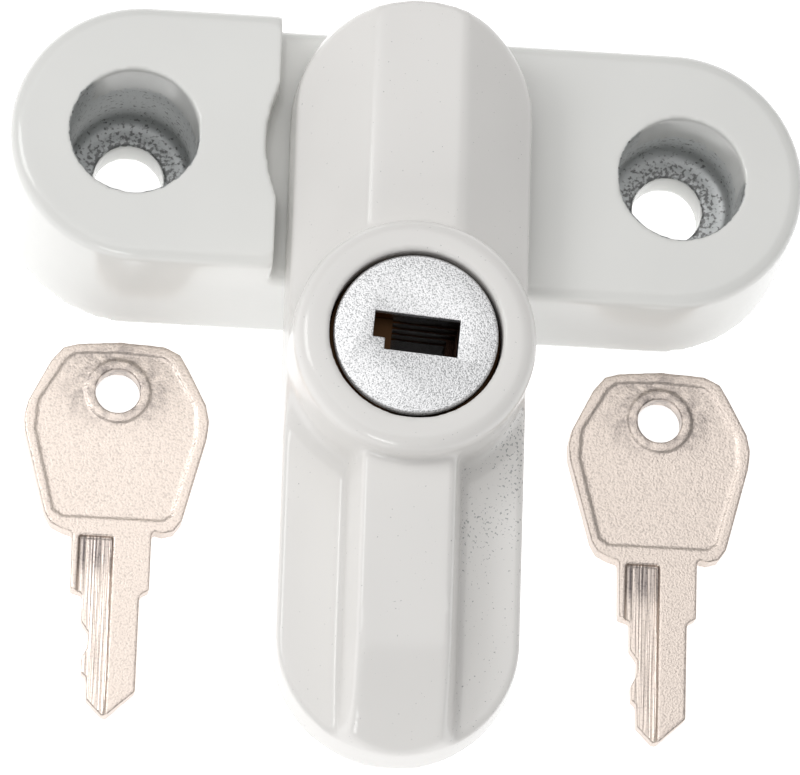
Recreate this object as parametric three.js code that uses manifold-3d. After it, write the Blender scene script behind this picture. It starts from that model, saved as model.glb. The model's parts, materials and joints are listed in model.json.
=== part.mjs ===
// Keyed window lock: a die-cast base is screwed to the window frame, and an arm with a wafer
// cylinder swings over it on a steel post. Millimetres, +Z out of the frame, +X along the base,
// origin on the pivot axis in the mounting plane. The two keys lie beside the lock.
import * as THREE from "three";
import { mergeVertices } from "three/addons/utils/BufferGeometryUtils.js";
import Module from "manifold-3d";

const wasm = await Module();
wasm.setup();

// Clearances
const RUN = 0.1; // between pieces that touch or run on each other
const LOOSE = 0.3; // between pieces that only pass each other

// Base casting
const BASE_SPAN = 48.8; // between the centres of the round ends
const BASE_RADIUS = 12.75; // end radius in the mounting plane
const BASE_DRAFT = 0.035; // radius lost for each millimetre of height
const BASE_TOP = 13.8; // height of the low part
const BLOCK_RISE = 4.5; // stop block at the left, above the low part
const BLOCK_GAP = 1.2; // between the arm's side and the stop block
const BASE_ROUND = 1.0; // top edge rounding
const SCREW_OUTSET = 0.9; // screws outside the centres of the round ends
const SCREW_SEAT_RADIUS = 5.8;
const SCREW_SEAT_TOP = 4.2; // height of the seat under a screw head
const SCREW_HOLE_RADIUS = 3.25;
const POCKET_WIDTH = 6.4; // coring pockets in the back
const POCKET_LENGTH = 7.0;
const POCKET_DEPTH = 7.0;
const POCKET_GAP = 2.4; // rib between two pockets, and between a pocket and the post's seat

// Arm casting
const ARM_GAP = 0.5; // the arm's underside above the base
const ARM_RADIUS = 11.1; // half width at the underside
const ARM_DRAFT = 0.35; // half width lost up to the eave
const EAVE_RISE = 4.5; // eave above the underside
const RIDGE_RISE = 5.8; // ridge above the eave
const RIDGE_CREST = 4.05; // half width of the ridge's flat top
const RIDGE_FLARE = 1.25; // the ridge's steep side widens by this down to the wings
const SHORT_END = 3.0; // from the pivot to the centre of the short end's curve
const ARM_OVERREACH = 8.75; // from the base's end to the centre of the long end's curve
const SWING_CLEARANCE = 0.35; // from the short end's circle to the stop block's hollow
const END_LEAN = 1.85; // the end faces lean back by this over the ridge's rise
const RIDGE_END_RADIUS = 15.4; // the ridge bends down to the long end on this radius
const RIDGE_END_RISE = 0.3; // what is left of the ridge at the tip
const ARM_WALL = 2.0;
const RIDGE_WALL = 1.5;
const RING_MARGIN = 4.1; // from the lock ring to the arm's side
const RING_GAP = 1.2; // from the lock ring to the bolt's guide
const GUIDE_WALL = 0.7; // in front of the bolt's springs

// Lock boss and cylinder
const BOSS_WALL = 3.1;
const BOSS_RISE = 3.1; // above the ridge
const BOSS_ROUND = 1.6;
const BOSS_DRAFT = 0.15; // radius lost up to the rim
const HOUSING_WALL = 2.4; // from the plug to the bore
const HEAD_GAP = 0.4; // round the plug's visible face
const HEAD_THICKNESS = 1.5;
const HEAD_RECESS = 0.45; // below the boss's rim
const HEAD_CHAMFER = 0.15;
const BLADE_DEPTH = 6; // of the keyway's full width, below the face
const PLUG_RADIUS = 5.3;
const TAIL_STEP = 0.55; // radius lost from the plug to its tail
const TAIL_FLAT_DEPTH = 0.85; // of the flats on the tail
const FLANGE_LIP = 1.1; // the housing's foot flange outside the bore
const FLANGE_THICKNESS = 0.8;
const KEYWAY_TILT = -4; // degrees, from the base's length
const KEY_PLAY = 0.4; // between the key's faces and the keyway
const KEYWAY_STEP_LENGTH = 2.2; // the lower end of the keyway
const KEYWAY_STEP_HEIGHT = 1.05;
const WAFER_COUNT = 4;
const WAFER_THICKNESS = 0.8;
const WAFER_MARGIN = 0.75; // below the first wafer and above the last
const WAFER_TRAVEL = 0.8;
const WAFER_RAIL = 0.775; // left of a wafer on each side of its window
const WAFER_END = 1.2; // left of a wafer at the window's end
const WINDOW_START = 0.2; // from the blade's cut edge to a wafer's window
const WINDOW_STEP = 0.15; // between one wafer's window and the next
const TAB_START = 0.4; // the spring tab on a wafer's edge
const TAB_LENGTH = 0.8;
const TAB_HEIGHT = 1.2;
const WAFER_SPRING_RADIUS = 0.3;
const WAFER_SPRING_WIRE = 0.1;
const WAFER_SPRING_START = -1.4;

// Layers in the arm, upwards from its underside
const PLATE_RECESS = 0.3;
const PLATE_THICKNESS = 1.0;
const WAVE_HEIGHT = 0.8;
const WAVE_THICKNESS = 0.4;
const LOCK_RING_THICKNESS = 1.7;
const BOLT_THICKNESS = 1.3;
const CLIP_THICKNESS = 0.6;

// Pivot post and lock ring
const POST_RADIUS = 4.0;
const POST_FOOT_LIP = 3.0; // the foot outside the post
const POST_FOOT_THICKNESS = 2.1;
const POST_NECK = 7.8; // side of the square neck in the base
const POST_NECK_TOP = 6.0;
const POST_SQUARE = 5.4; // side of the square that carries the lock ring
const POST_END = 0.8; // of the post above its clip
const CLIP_DEPTH = 0.4; // of the groove that a clip sits in
const CLIP_LIP = 0.6; // a clip outside what it is pushed on
const CLIP_MOUTH = 0.75; // half the clip's mouth, as a share of its inner radius
const THRUST_LIP = 0.4; // the thrust washer outside the lock ring
const WAVE_WIDTH = 2.2;
const NOTCH_DEPTH = 2.1;

// Bolt and cam
const BOLT_WIDTH = 4.6;
const BOLT_TRAVEL = 2.2;
const BOLT_SHOULDER = 1.4; // shoulders on each side, for the springs
const BOLT_SHOULDER_DEPTH = 0.8;
const BOLT_NOSE = 0.9; // from the cam to the shoulders
const BOLT_NOSE_WIDTH = 0.8;
const BOLT_CHAMFER = 0.4;
const BOLT_SPRING_LENGTH = 1.5;
const BOLT_SPRING_RADIUS = 0.4;
const BOLT_SPRING_WIRE = 0.12;
const BOLT_SPRING_OFFSET = 0.75; // from the bolt's side to the spring's axis
const CAM_WALL = 1.15;

// Pad and screws of the arm's cover plate
const PAD_OFFSET = 2.6; // outside the centre of the long end's curve
const PAD_HEIGHT = 2.0;
const PAD_RADIUS = 5.0;
const REAR_SCREW_GAP = 5.7; // from the boss to the rear screw
const SCREW_WALL = 0.2; // between a screw and what it passes
const SCREW_POST_WALL = 1.3;
const SMALL_SCREW_RADIUS = 1.2;
const SMALL_HEAD_RADIUS = 2.1;
const SMALL_SCREW_LENGTH = 4.0;
const SCREW_CHAMFER = 0.5;
const DRIVER_SLOT = 0.5; // width of the slots in the small screws
const DRIVER_REACH = 0.55; // half a slot's length, as a share of the head's radius
const DRIVER_DEPTH = 0.6; // of a slot, as a share of the head's height
const PIN_RADIUS = 0.6; // of the pin that holds the housing
const PIN_RISE = 2.2; // above the housing's flange
const PIN_WALL = 0.4; // between the pin's end and the hollow over the post

// Keys
const KEY_THICKNESS = 2.0;
const KEY_X = 25.25; // the bow hole's centre, from the pivot
const KEY_GAP = 2.45; // from the base to the bow
const KEY_BOW_TOP = 4.7; // all key lengths are from the bow hole's centre
const KEY_BOW_HALF = 8.5;
const KEY_BOW_FOOT = 13.4;
const KEY_SHANK_HALF = 3.65;
const KEY_SHANK_END = 19.1;
const KEY_TIP = 30.75;
const KEY_BLADE_LEFT = 2.4;
const KEY_BLADE_RIGHT = 2.85;
const KEY_HOLE_RADIUS = 2.07;
const KEY_STEP = 0.4; // chamfer where the shank ends
const KEY_POINT = 2.5; // length of the tip's slope
const KEY_TIP_HALF = 0.25;
const KEY_MIDDLE_CUT = 0.2;
const KEY_DEEP_CUT = 0.75;
const KEY_GROOVE_DEPTH = 0.6;
const KEY_GROOVE_LEFT = 2.9;
const KEY_GROOVE_RIGHT = 0.2;

// Heights that follow
const blockTop = BASE_TOP + BLOCK_RISE;
const armBottom = BASE_TOP + ARM_GAP;
const eave = armBottom + EAVE_RISE;
const crest = eave + RIDGE_RISE;
const bossTop = crest + BOSS_RISE;
const plateBottom = armBottom + PLATE_RECESS;
const plateTop = plateBottom + PLATE_THICKNESS;
const shoulder = plateTop + WAVE_HEIGHT + 2 * RUN;
const ringBottom = shoulder + RUN / 2;
const ringTop = ringBottom + LOCK_RING_THICKNESS;
const boltBottom = ringBottom + (LOCK_RING_THICKNESS - BOLT_THICKNESS) / 2;
const flangeTop = ringTop + FLANGE_THICKNESS + RUN;
const headTop = bossTop - HEAD_RECESS;
const headBottom = headTop - HEAD_THICKNESS;
const waferSpace = headBottom - ringTop - 2 * WAFER_MARGIN - WAFER_THICKNESS;
const waferPitch = waferSpace / (WAFER_COUNT - 1);

// Radii and places that follow, from the pivot outwards
const screwX = BASE_SPAN / 2 + SCREW_OUTSET;
const blockEdge = ARM_RADIUS + BLOCK_GAP;
const postFootRadius = POST_RADIUS + POST_FOOT_LIP;
const eaveRadius = ARM_RADIUS - ARM_DRAFT;
const ridgeFoot = RIDGE_CREST + RIDGE_FLARE;
const lockRingRadius = ARM_RADIUS - RING_MARGIN;
const frontScrew = lockRingRadius + LOOSE + SMALL_SCREW_RADIUS + SCREW_WALL;
const swingRadius = frontScrew + SMALL_HEAD_RADIUS + ARM_WALL + 2 * RUN;
const boreRadius = PLUG_RADIUS + HOUSING_WALL;
const bossRadius = boreRadius + BOSS_WALL;
const headRadius = boreRadius - HEAD_GAP;
const flangeRadius = boreRadius + FLANGE_LIP;
const tailRadius = PLUG_RADIUS - TAIL_STEP;
const tailFlat = tailRadius - TAIL_FLAT_DEPTH;
const camRadius = tailRadius + CAM_WALL;
const camReach = camRadius + BOLT_TRAVEL;
const guideStart = lockRingRadius + RING_GAP;
const springStop = -guideStart - GUIDE_WALL;
const springEnd = springStop - BOLT_TRAVEL - 2 * RUN;
const boltTip = -lockRingRadius - LOOSE;
const boltShoulder = springEnd - BOLT_SPRING_LENGTH;
const boltRear = boltShoulder - BOLT_SHOULDER_DEPTH - BOLT_NOSE;
const lockOffset = camRadius + RUN - boltRear; // from the pivot to the cylinder's axis
const guideEnd = camReach + 2 * LOOSE - lockOffset;
const rearScrew = lockOffset + bossRadius + REAR_SCREW_GAP;
const longEnd = BASE_SPAN / 2 + BASE_RADIUS + ARM_OVERREACH;
const padCentre = longEnd + PAD_OFFSET;
const keywayLength = 2 * KEY_SHANK_HALF + LOOSE;
const keywayHeight = KEY_THICKNESS + KEY_PLAY + KEYWAY_STEP_HEIGHT;
const waferHalf = keywayHeight / 2 + WAFER_RAIL;
const keyY = -BASE_RADIUS - KEY_GAP - KEY_BOW_TOP;

// A closed geometry without seams, as a solid that can be cut and joined.
function solid(geometry) {
  geometry.deleteAttribute("normal");
  geometry.deleteAttribute("uv");
  const merged = mergeVertices(geometry, 1e-4);
  const vertProperties = Float32Array.from(merged.attributes.position.array);
  const triVerts = Uint32Array.from(merged.index.array);
  return new wasm.Manifold(new wasm.Mesh({ numProp: 3, vertProperties, triVerts }));
}

function cut(body, ...tools) {
  return tools.reduce((left, tool) => left.subtract(tool), body);
}

function join(body, ...others) {
  return others.reduce((sum, other) => sum.add(other), body);
}

// A solid turned about the Z axis from [radius, height] points that go up the outside.
function turned(points, segments = 48, phase = 0) {
  const profile = points.map(([radius, height]) => new THREE.Vector2(radius, height));
  return new THREE.LatheGeometry(profile, segments, phase).rotateX(Math.PI / 2);
}

function disc(radius, bottom, top, x = 0, y = 0, segments = 48) {
  const points = [[0, bottom], [radius, bottom], [radius, top], [0, top]];
  return solid(turned(points, segments).translate(x, y, 0));
}

function block(x0, x1, y0, y1, z0, z1) {
  const box = new THREE.BoxGeometry(x1 - x0, y1 - y0, z1 - z0);
  return solid(box.translate((x0 + x1) / 2, (y0 + y1) / 2, (z0 + z1) / 2));
}

function outline(points) {
  return new THREE.Shape(points.map(([x, y]) => new THREE.Vector2(x, y)));
}

function prism(shape, bottom, top, curveSegments = 10) {
  const settings = { depth: top - bottom, bevelEnabled: false, curveSegments };
  return solid(new THREE.ExtrudeGeometry(shape, settings).translate(0, 0, bottom));
}

// A prism along Y from an outline in X and Z.
function prismAlongY(points, y0, y1) {
  const settings = { depth: y1 - y0, bevelEnabled: false };
  const geometry = new THREE.ExtrudeGeometry(outline(points), settings);
  return solid(geometry.rotateX(Math.PI / 2).translate(0, y1, 0));
}

// A prism along X from an outline in Y and Z.
function prismAlongX(points, x0, x1) {
  const settings = { depth: x1 - x0, bevelEnabled: false };
  const geometry = new THREE.ExtrudeGeometry(outline(points), settings);
  return solid(geometry.rotateX(Math.PI / 2).rotateZ(Math.PI / 2).translate(x0, 0, 0));
}

// A turned solid pulled apart along one axis into an obround; the lathe's points straddle the
// parting plane, so the quads that cross it become the straight sides.
function obround(points, axis, forward, back, segments = 48) {
  const geometry = turned(points, segments, Math.PI / segments);
  const place = geometry.attributes.position;
  for (let i = 0; i < place.count; i += 1) {
    const value = place.getComponent(i, axis);
    const shift = Math.abs(value) < 1e-6 ? 0 : value > 0 ? forward : -back;
    place.setComponent(i, axis, value + shift);
  }
  return solid(geometry);
}

// [radius, height] points of a convex rounded top edge.
function roundedEdge(radius, top, round, steps = 4) {
  const points = [];
  for (let i = 0; i <= steps; i += 1) {
    const angle = (i / steps) * (Math.PI / 2);
    points.push([radius - round * (1 - Math.cos(angle)), top - round * (1 - Math.sin(angle))]);
  }
  return points;
}

// A helical spring along +X, centred on the axis.
function coil(radius, wire, length, turns) {
  const points = [];
  const perTurn = 8;
  for (let i = 0; i <= turns * perTurn; i += 1) {
    const angle = (i / perTurn) * 2 * Math.PI;
    const along = wire + (i / (turns * perTurn)) * (length - 2 * wire);
    points.push(new THREE.Vector3(along, radius * Math.cos(angle), radius * Math.sin(angle)));
  }
  const path = new THREE.CatmullRomCurve3(points);
  const section = new THREE.Shape().absarc(0, 0, wire, 0, 2 * Math.PI);
  const settings = { steps: turns * perTurn, extrudePath: path, curveSegments: 3, bevelEnabled: false };
  return new THREE.ExtrudeGeometry(section, settings);
}

function baseCasting(top) {
  const radius = BASE_RADIUS - BASE_DRAFT * top;
  const points = [[0, 0], [BASE_RADIUS, 0], ...roundedEdge(radius, top, BASE_ROUND), [0, top]];
  return obround(points, 0, BASE_SPAN / 2, BASE_SPAN / 2);
}

function baseBody() {
  const far = BASE_SPAN;
  const hollow = disc(swingRadius + SWING_CLEARANCE, BASE_TOP, blockTop + 1, 0, 0, 72);
  const stopBlock = cut(
    baseCasting(blockTop),
    block(-blockEdge, far, -far, far, BASE_TOP - 1, blockTop + 1),
    hollow,
  );
  let body = join(baseCasting(BASE_TOP), stopBlock);
  for (const x of [-screwX, screwX]) {
    body = cut(body, disc(SCREW_SEAT_RADIUS, SCREW_SEAT_TOP, blockTop + 1, x));
    body = cut(body, disc(SCREW_HOLE_RADIUS, -1, blockTop, x));
    body = cut(body, ...corePockets(Math.sign(x)));
  }
  const neck = POST_NECK / 2 + RUN;
  return cut(
    body,
    disc(postFootRadius + 2 * RUN, -1, POST_FOOT_THICKNESS + RUN),
    block(-neck, neck, -neck, neck, 0, POST_NECK_TOP + 2 * RUN),
    disc(POST_RADIUS + RUN, 0, BASE_TOP + 1),
  );
}

// Two pockets on one side of the post's seat.
function corePockets(side) {
  const start = postFootRadius + POCKET_GAP + 2 * RUN;
  const x0 = Math.min(side * start, side * (start + POCKET_WIDTH));
  const x1 = x0 + POCKET_WIDTH;
  const y0 = POCKET_GAP / 2;
  const y1 = y0 + POCKET_LENGTH;
  return [
    block(x0, x1, y0, y1, -1, POCKET_DEPTH),
    block(x0, x1, -y1, -y0, -1, POCKET_DEPTH),
  ];
}

const clipGrooveBottom = ringTop + RUN / 2;
const clipGrooveTop = clipGrooveBottom + CLIP_THICKNESS + 2 * RUN;
const postTop = clipGrooveTop + POST_END;
const grooveRadius = POST_SQUARE / 2 - CLIP_DEPTH;

function pivotPost() {
  const neck = POST_NECK / 2;
  const square = POST_SQUARE / 2;
  const head = cut(
    disc(POST_RADIUS, shoulder - 1, postTop)
      .intersect(block(-square, square, -square, square, shoulder - 1, postTop)),
    cut(disc(POST_RADIUS + 1, clipGrooveBottom, clipGrooveTop), disc(grooveRadius, shoulder, postTop)),
  );
  return join(
    disc(postFootRadius, 0, POST_FOOT_THICKNESS),
    block(-neck, neck, -neck, neck, POST_FOOT_THICKNESS - 1, POST_NECK_TOP),
    disc(POST_RADIUS, POST_NECK_TOP - 1, shoulder),
    head,
  );
}

function ring(outer, inner, bottom, top) {
  return cut(disc(outer, bottom, top), disc(inner, bottom - 1, top + 1));
}

function thrustWasher() {
  return ring(lockRingRadius + THRUST_LIP, POST_RADIUS + RUN, BASE_TOP + RUN, plateBottom - RUN);
}

// A spring washer with three waves, made by bending a flat ring.
function waveWasher() {
  const lift = (WAVE_HEIGHT - WAVE_THICKNESS) / 2;
  const inner = POST_RADIUS + RUN;
  const points = [
    [inner, 0],
    [inner + WAVE_WIDTH, 0],
    [inner + WAVE_WIDTH, WAVE_THICKNESS],
    [inner, WAVE_THICKNESS],
    [inner, 0],
  ];
  const geometry = turned(points, 60);
  const place = geometry.attributes.position;
  for (let i = 0; i < place.count; i += 1) {
    const angle = Math.atan2(place.getY(i), place.getX(i));
    const bend = lift * (1 + Math.cos(3 * angle));
    place.setZ(i, place.getZ(i) + bend + plateTop + RUN);
  }
  return solid(geometry);
}

function lockRing() {
  const hole = POST_SQUARE / 2 + RUN / 2;
  const notch = BOLT_WIDTH / 2 + LOOSE / 2;
  const floor = lockRingRadius - NOTCH_DEPTH;
  const far = lockRingRadius + 1;
  const low = ringBottom - 1;
  const high = ringTop + 1;
  return cut(
    disc(lockRingRadius, ringBottom, ringTop),
    block(-hole, hole, -hole, hole, low, high),
    block(floor, far, -notch, notch, low, high),
    block(-far, -floor, -notch, notch, low, high),
    block(-notch, notch, floor, far, low, high),
    block(-notch, notch, -far, -floor, low, high),
  );
}

// A retaining clip: a flat ring with a gap to push it on sideways.
function openClip(outer, inner, bottom, top) {
  const gap = inner * CLIP_MOUTH;
  return cut(ring(outer, inner, bottom, top), block(0, outer + 1, -gap, gap, bottom - 1, top + 1));
}

function postClip() {
  const bottom = clipGrooveBottom + RUN;
  return openClip(POST_RADIUS + CLIP_LIP, grooveRadius + RUN / 2, bottom, bottom + CLIP_THICKNESS);
}

// The arm's outer block, as high as the ridge, moved in by a wall for the inside.
function armBlank(wall, bottom) {
  const points = [
    [0, bottom],
    [ARM_RADIUS - wall, bottom],
    [eaveRadius - wall, eave],
    [eaveRadius - END_LEAN - wall, crest],
    [0, crest],
  ];
  const swing = [
    [0, bottom],
    [swingRadius - wall, bottom],
    [swingRadius - wall, eave],
    [swingRadius - END_LEAN - wall, crest],
    [0, crest],
  ];
  const shortEnd = obround(swing, 1, 0, 3 * longEnd, 72);
  return obround(points, 1, SHORT_END, longEnd).intersect(shortEnd);
}

const far = 2 * ARM_RADIUS;

// The arm's roof towards the short end: straight slopes from the ridge to the eaves.
function roof(wall) {
  const slope = RIDGE_RISE / (eaveRadius - RIDGE_CREST);
  const drop = wall * Math.hypot(1, slope);
  const eaveHeight = crest - slope * (far - RIDGE_CREST) - drop;
  const top = crest - wall;
  const half = RIDGE_CREST - (drop - wall) / slope;
  return prismAlongY(
    [[-far, 0], [far, 0], [far, eaveHeight], [half, top], [-half, top], [-far, eaveHeight]],
    -lockOffset,
    2 * swingRadius,
  );
}

// The arm towards the long end: low wings on both sides of a steep ridge.
function wings() {
  const section = [
    [-far, 0],
    [far, 0],
    [far, eave],
    [ridgeFoot, eave],
    [RIDGE_CREST, crest],
    [-RIDGE_CREST, crest],
    [-ridgeFoot, eave],
    [-far, eave],
  ];
  return prismAlongY(section, -longEnd - far, -lockOffset);
}

// The side view of the arm, with the ridge bending down to the long end.
function sideView() {
  const end = -longEnd - eaveRadius;
  const fullTurn = Math.acos(1 - (RIDGE_RISE - RIDGE_END_RISE) / RIDGE_END_RADIUS);
  const start = end + RIDGE_END_RADIUS * Math.sin(fullTurn);
  const points = [[far, 0], [far, crest + 1], [start, crest + 1]];
  const steps = 8;
  for (let i = 0; i <= steps; i += 1) {
    const angle = (i / steps) * fullTurn;
    const drop = RIDGE_END_RADIUS * (1 - Math.cos(angle));
    points.push([start - RIDGE_END_RADIUS * Math.sin(angle), crest - drop]);
  }
  points.push([end - 1, eave + RIDGE_END_RISE], [end - 1, 0]);
  return prismAlongX(points.reverse(), -far, far);
}

function lockBoss() {
  const points = [[0, eave - 2], [bossRadius, eave - 2]];
  points.push(...roundedEdge(bossRadius - BOSS_DRAFT, bossTop, BOSS_ROUND), [0, bossTop]);
  return solid(turned(points, 64).translate(0, -lockOffset, 0));
}

function armChambers() {
  const low = armBottom - 1;
  const slot = BOLT_WIDTH / 2 + RUN;
  const springSlot = slot + BOLT_SHOULDER + LOOSE;
  const inside = armBlank(ARM_WALL, low);
  const pivotRoof = roof(ARM_WALL).intersect(inside);
  const rear = -lockOffset - bossRadius + 1;
  const floorLayer = inside.intersect(block(-far, far, -2 * longEnd, far, low, shoulder - RUN));
  const boltLayer = inside.intersect(block(-far, far, rear, guideEnd, low, ringTop));
  return join(
    floorLayer,
    boltLayer,
    block(-slot, slot, guideEnd - 1, 0, low, ringTop),
    block(-springSlot, springSlot, guideEnd - 1, springStop, low, ringTop),
    pivotRoof.intersect(block(-far, far, -guideStart, far, low, crest)),
    disc(camReach + LOOSE, low, ringTop, 0, -lockOffset),
    disc(flangeRadius + RUN, low, flangeTop + RUN, 0, -lockOffset),
    disc(boreRadius, low, bossTop + 1, 0, -lockOffset),
  );
}

// The hollow inside the ridge behind the lock, with the posts for two screws left standing.
function ridgePocket() {
  const half = RIDGE_CREST - RIDGE_WALL;
  const post = SMALL_SCREW_RADIUS + SCREW_POST_WALL + LOOSE;
  const pocket = block(
    -half, half, -longEnd - 4, -lockOffset - bossRadius - 1, armBottom, crest - ARM_WALL,
  );
  return cut(
    pocket,
    disc(post, armBottom - 1, crest, 0, -rearScrew),
    disc(post, armBottom - 1, crest, 0, -padCentre),
  );
}

const screwPlaces = [frontScrew, -rearScrew, -padCentre];

function screwHole(y) {
  return disc(SMALL_SCREW_RADIUS + RUN, armBottom - 1, plateTop + SMALL_SCREW_LENGTH + RUN, 0, y, 24);
}

const pinHeight = flangeTop + PIN_RISE;

function pinBar(radius, y0, y1) {
  return solid(turned([[0, 0], [radius, 0], [radius, y1 - y0], [0, y1 - y0]], 16)
    .rotateX(-Math.PI / 2).translate(0, y0, pinHeight));
}

const pinStart = -lockOffset + PLUG_RADIUS + 1;
const pinEnd = -guideStart - PIN_WALL;

function armShell() {
  const body = armBlank(0, armBottom).intersect(join(roof(0), wings())).intersect(sideView());
  const frontPost = cut(
    disc(SMALL_SCREW_RADIUS + SCREW_POST_WALL, plateTop + RUN, crest, 0, frontScrew),
    disc(lockRingRadius + LOOSE, armBottom, crest),
  );
  const hollow = cut(join(armChambers(), ridgePocket()), frontPost);
  const shell = cut(join(body, lockBoss()), hollow, ...screwPlaces.map(screwHole));
  return cut(shell, pinBar(PIN_RADIUS + RUN, pinStart, pinEnd));
}

function armPlate() {
  const inside = armBlank(ARM_WALL + RUN, plateBottom - 1);
  const sheet = inside.intersect(block(-far, far, -2 * longEnd, far, plateBottom, plateTop));
  return cut(
    sheet,
    disc(POST_RADIUS + RUN, plateBottom - 1, plateTop + 1),
    countersink(frontScrew),
    countersink(-rearScrew),
    disc(SMALL_SCREW_RADIUS + RUN, plateBottom - 1, plateTop + 1, 0, -padCentre, 24),
  );
}

function countersink(y) {
  const wide = SMALL_HEAD_RADIUS + RUN;
  const narrow = SMALL_SCREW_RADIUS + RUN;
  const points = [[0, plateBottom - 1], [wide, plateBottom - 1], [wide, plateBottom], [narrow, plateTop]];
  points.push([narrow, plateTop + 1], [0, plateTop + 1]);
  return solid(turned(points, 24).translate(0, y, 0));
}

// A countersunk screw that points up, with a cross slot in its head.
function smallScrew(y, headBottomZ, headHeight, tip) {
  const points = [[0, headBottomZ], [SMALL_HEAD_RADIUS, headBottomZ]];
  points.push([SMALL_SCREW_RADIUS, headBottomZ + headHeight], [SMALL_SCREW_RADIUS, tip - SCREW_CHAMFER]);
  points.push([SMALL_SCREW_RADIUS - SCREW_CHAMFER, tip], [0, tip]);
  const arm = SMALL_HEAD_RADIUS * DRIVER_REACH;
  const slotTop = headBottomZ + headHeight * DRIVER_DEPTH;
  return cut(
    solid(turned(points, 24).translate(0, y, 0)),
    block(-arm, arm, y - DRIVER_SLOT / 2, y + DRIVER_SLOT / 2, headBottomZ - 1, slotTop),
    block(-DRIVER_SLOT / 2, DRIVER_SLOT / 2, y - arm, y + arm, headBottomZ - 1, slotTop),
  );
}

function plateScrew(y) {
  return smallScrew(y, plateBottom, PLATE_THICKNESS, plateTop + SMALL_SCREW_LENGTH);
}

const padTop = plateBottom - RUN;
const padBottom = padTop - PAD_HEIGHT;

function sashPad() {
  const seat = SMALL_HEAD_RADIUS + LOOSE;
  return cut(
    disc(PAD_RADIUS, padBottom, padTop, 0, -padCentre),
    disc(seat, padBottom - 1, padBottom + PAD_HEIGHT / 2, 0, -padCentre, 24),
    disc(SMALL_SCREW_RADIUS + RUN, padBottom - 1, padTop + 1, 0, -padCentre, 24),
  );
}

function padScrew() {
  const headHeight = PAD_HEIGHT / 2 - RUN;
  const bottom = padBottom + RUN;
  const points = [[0, bottom], [SMALL_HEAD_RADIUS, bottom], [SMALL_HEAD_RADIUS, bottom + headHeight - RUN]];
  const tip = plateTop + SMALL_SCREW_LENGTH;
  points.push([SMALL_SCREW_RADIUS, bottom + headHeight - RUN], [SMALL_SCREW_RADIUS, tip], [0, tip]);
  const arm = SMALL_HEAD_RADIUS * DRIVER_REACH;
  return cut(
    solid(turned(points, 24).translate(0, -padCentre, 0)),
    block(-arm, arm, -DRIVER_SLOT / 2, DRIVER_SLOT / 2, bottom - 1, bottom + headHeight / 2)
      .translate([0, -padCentre, 0]),
  );
}

// From here the cylinder's pieces are in the cylinder's own frame: Z is its axis, at the
// arm's heights, and X is the keyway's length.
function waferGroove(angle) {
  const reach = PLUG_RADIUS + WAFER_TRAVEL + 2 * RUN;
  const half = waferHalf + 2 * RUN;
  return block(-reach, reach, -half, half, ringTop - 1, headBottom).rotate([0, 0, angle]);
}

function barrelHousing() {
  const top = headBottom - RUN;
  const bottom = ringTop + RUN;
  const outer = boreRadius - RUN;
  const points = [[0, bottom], [flangeRadius, bottom], [flangeRadius, flangeTop]];
  points.push([outer, flangeTop], [outer, top], [0, top]);
  const pinSocket = pinBar(PIN_RADIUS + RUN, pinStart, pinEnd)
    .translate([0, lockOffset, 0]).rotate([0, 0, -KEYWAY_TILT]);
  return cut(
    solid(turned(points, 64)),
    disc(PLUG_RADIUS + RUN, bottom - 1, top + 1),
    waferGroove(0),
    waferGroove(90),
    pinSocket,
  );
}

const tailBottom = plateTop + LOOSE;
const tailClipTop = boltBottom - RUN;
const bladeSlotTop = headTop - BLADE_DEPTH;

function keyway() {
  const half = keywayLength / 2;
  const low = -keywayHeight / 2;
  const high = keywayHeight / 2;
  const step = -half + KEYWAY_STEP_LENGTH;
  const shape = outline([
    [-half, low + KEYWAY_STEP_HEIGHT],
    [step, low + KEYWAY_STEP_HEIGHT],
    [step, low],
    [half, low],
    [half, high],
    [-half, high],
  ]);
  const blade = block(-KEY_BLADE_LEFT - LOOSE, KEY_BLADE_RIGHT + LOOSE, low, high, tailBottom - 1, headTop);
  return join(prism(shape, bladeSlotTop, headTop + 1), blade);
}

function waferBottom(index) {
  return ringTop + WAFER_MARGIN + index * waferPitch;
}

const tabReach = waferHalf + TAB_HEIGHT;

function waferSlot(index) {
  const bottom = waferBottom(index) - RUN;
  const top = bottom + WAFER_THICKNESS + 2 * RUN;
  const half = waferHalf + RUN;
  const tabEnd = TAB_START + TAB_LENGTH + WAFER_TRAVEL + RUN;
  return join(
    block(-PLUG_RADIUS - 1, PLUG_RADIUS + 1, -half, half, bottom, top),
    block(WAFER_SPRING_START - RUN, tabEnd, half - 1, tabReach + RUN, bottom, top),
  );
}

function plug() {
  const points = [[0, tailBottom], [tailRadius, tailBottom], [tailRadius, ringTop - RUN]];
  points.push([PLUG_RADIUS, ringTop - RUN], [PLUG_RADIUS, headBottom]);
  points.push([headRadius, headBottom], [headRadius, headTop - HEAD_CHAMFER]);
  points.push([headRadius - HEAD_CHAMFER, headTop]);
  points.push([0, headTop]);
  const side = 2 * PLUG_RADIUS;
  const clipGroove = cut(
    disc(side, tailClipTop - CLIP_THICKNESS - RUN, tailClipTop),
    disc(tailRadius - CLIP_DEPTH - RUN, 0, headTop),
  );
  const slots = Array.from({ length: WAFER_COUNT }, (_, index) => waferSlot(index));
  return cut(
    solid(turned(points, 64)),
    block(-side, side, tailFlat, side, tailBottom - 1, ringTop - RUN),
    block(-side, side, -side, -tailFlat, tailBottom - 1, ringTop - RUN),
    clipGroove,
    keyway(),
    ...slots,
  );
}

function plugClip() {
  const bottom = tailClipTop - CLIP_THICKNESS;
  return openClip(tailRadius + CLIP_LIP - RUN, tailRadius - CLIP_DEPTH, bottom, tailClipTop - RUN);
}

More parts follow.
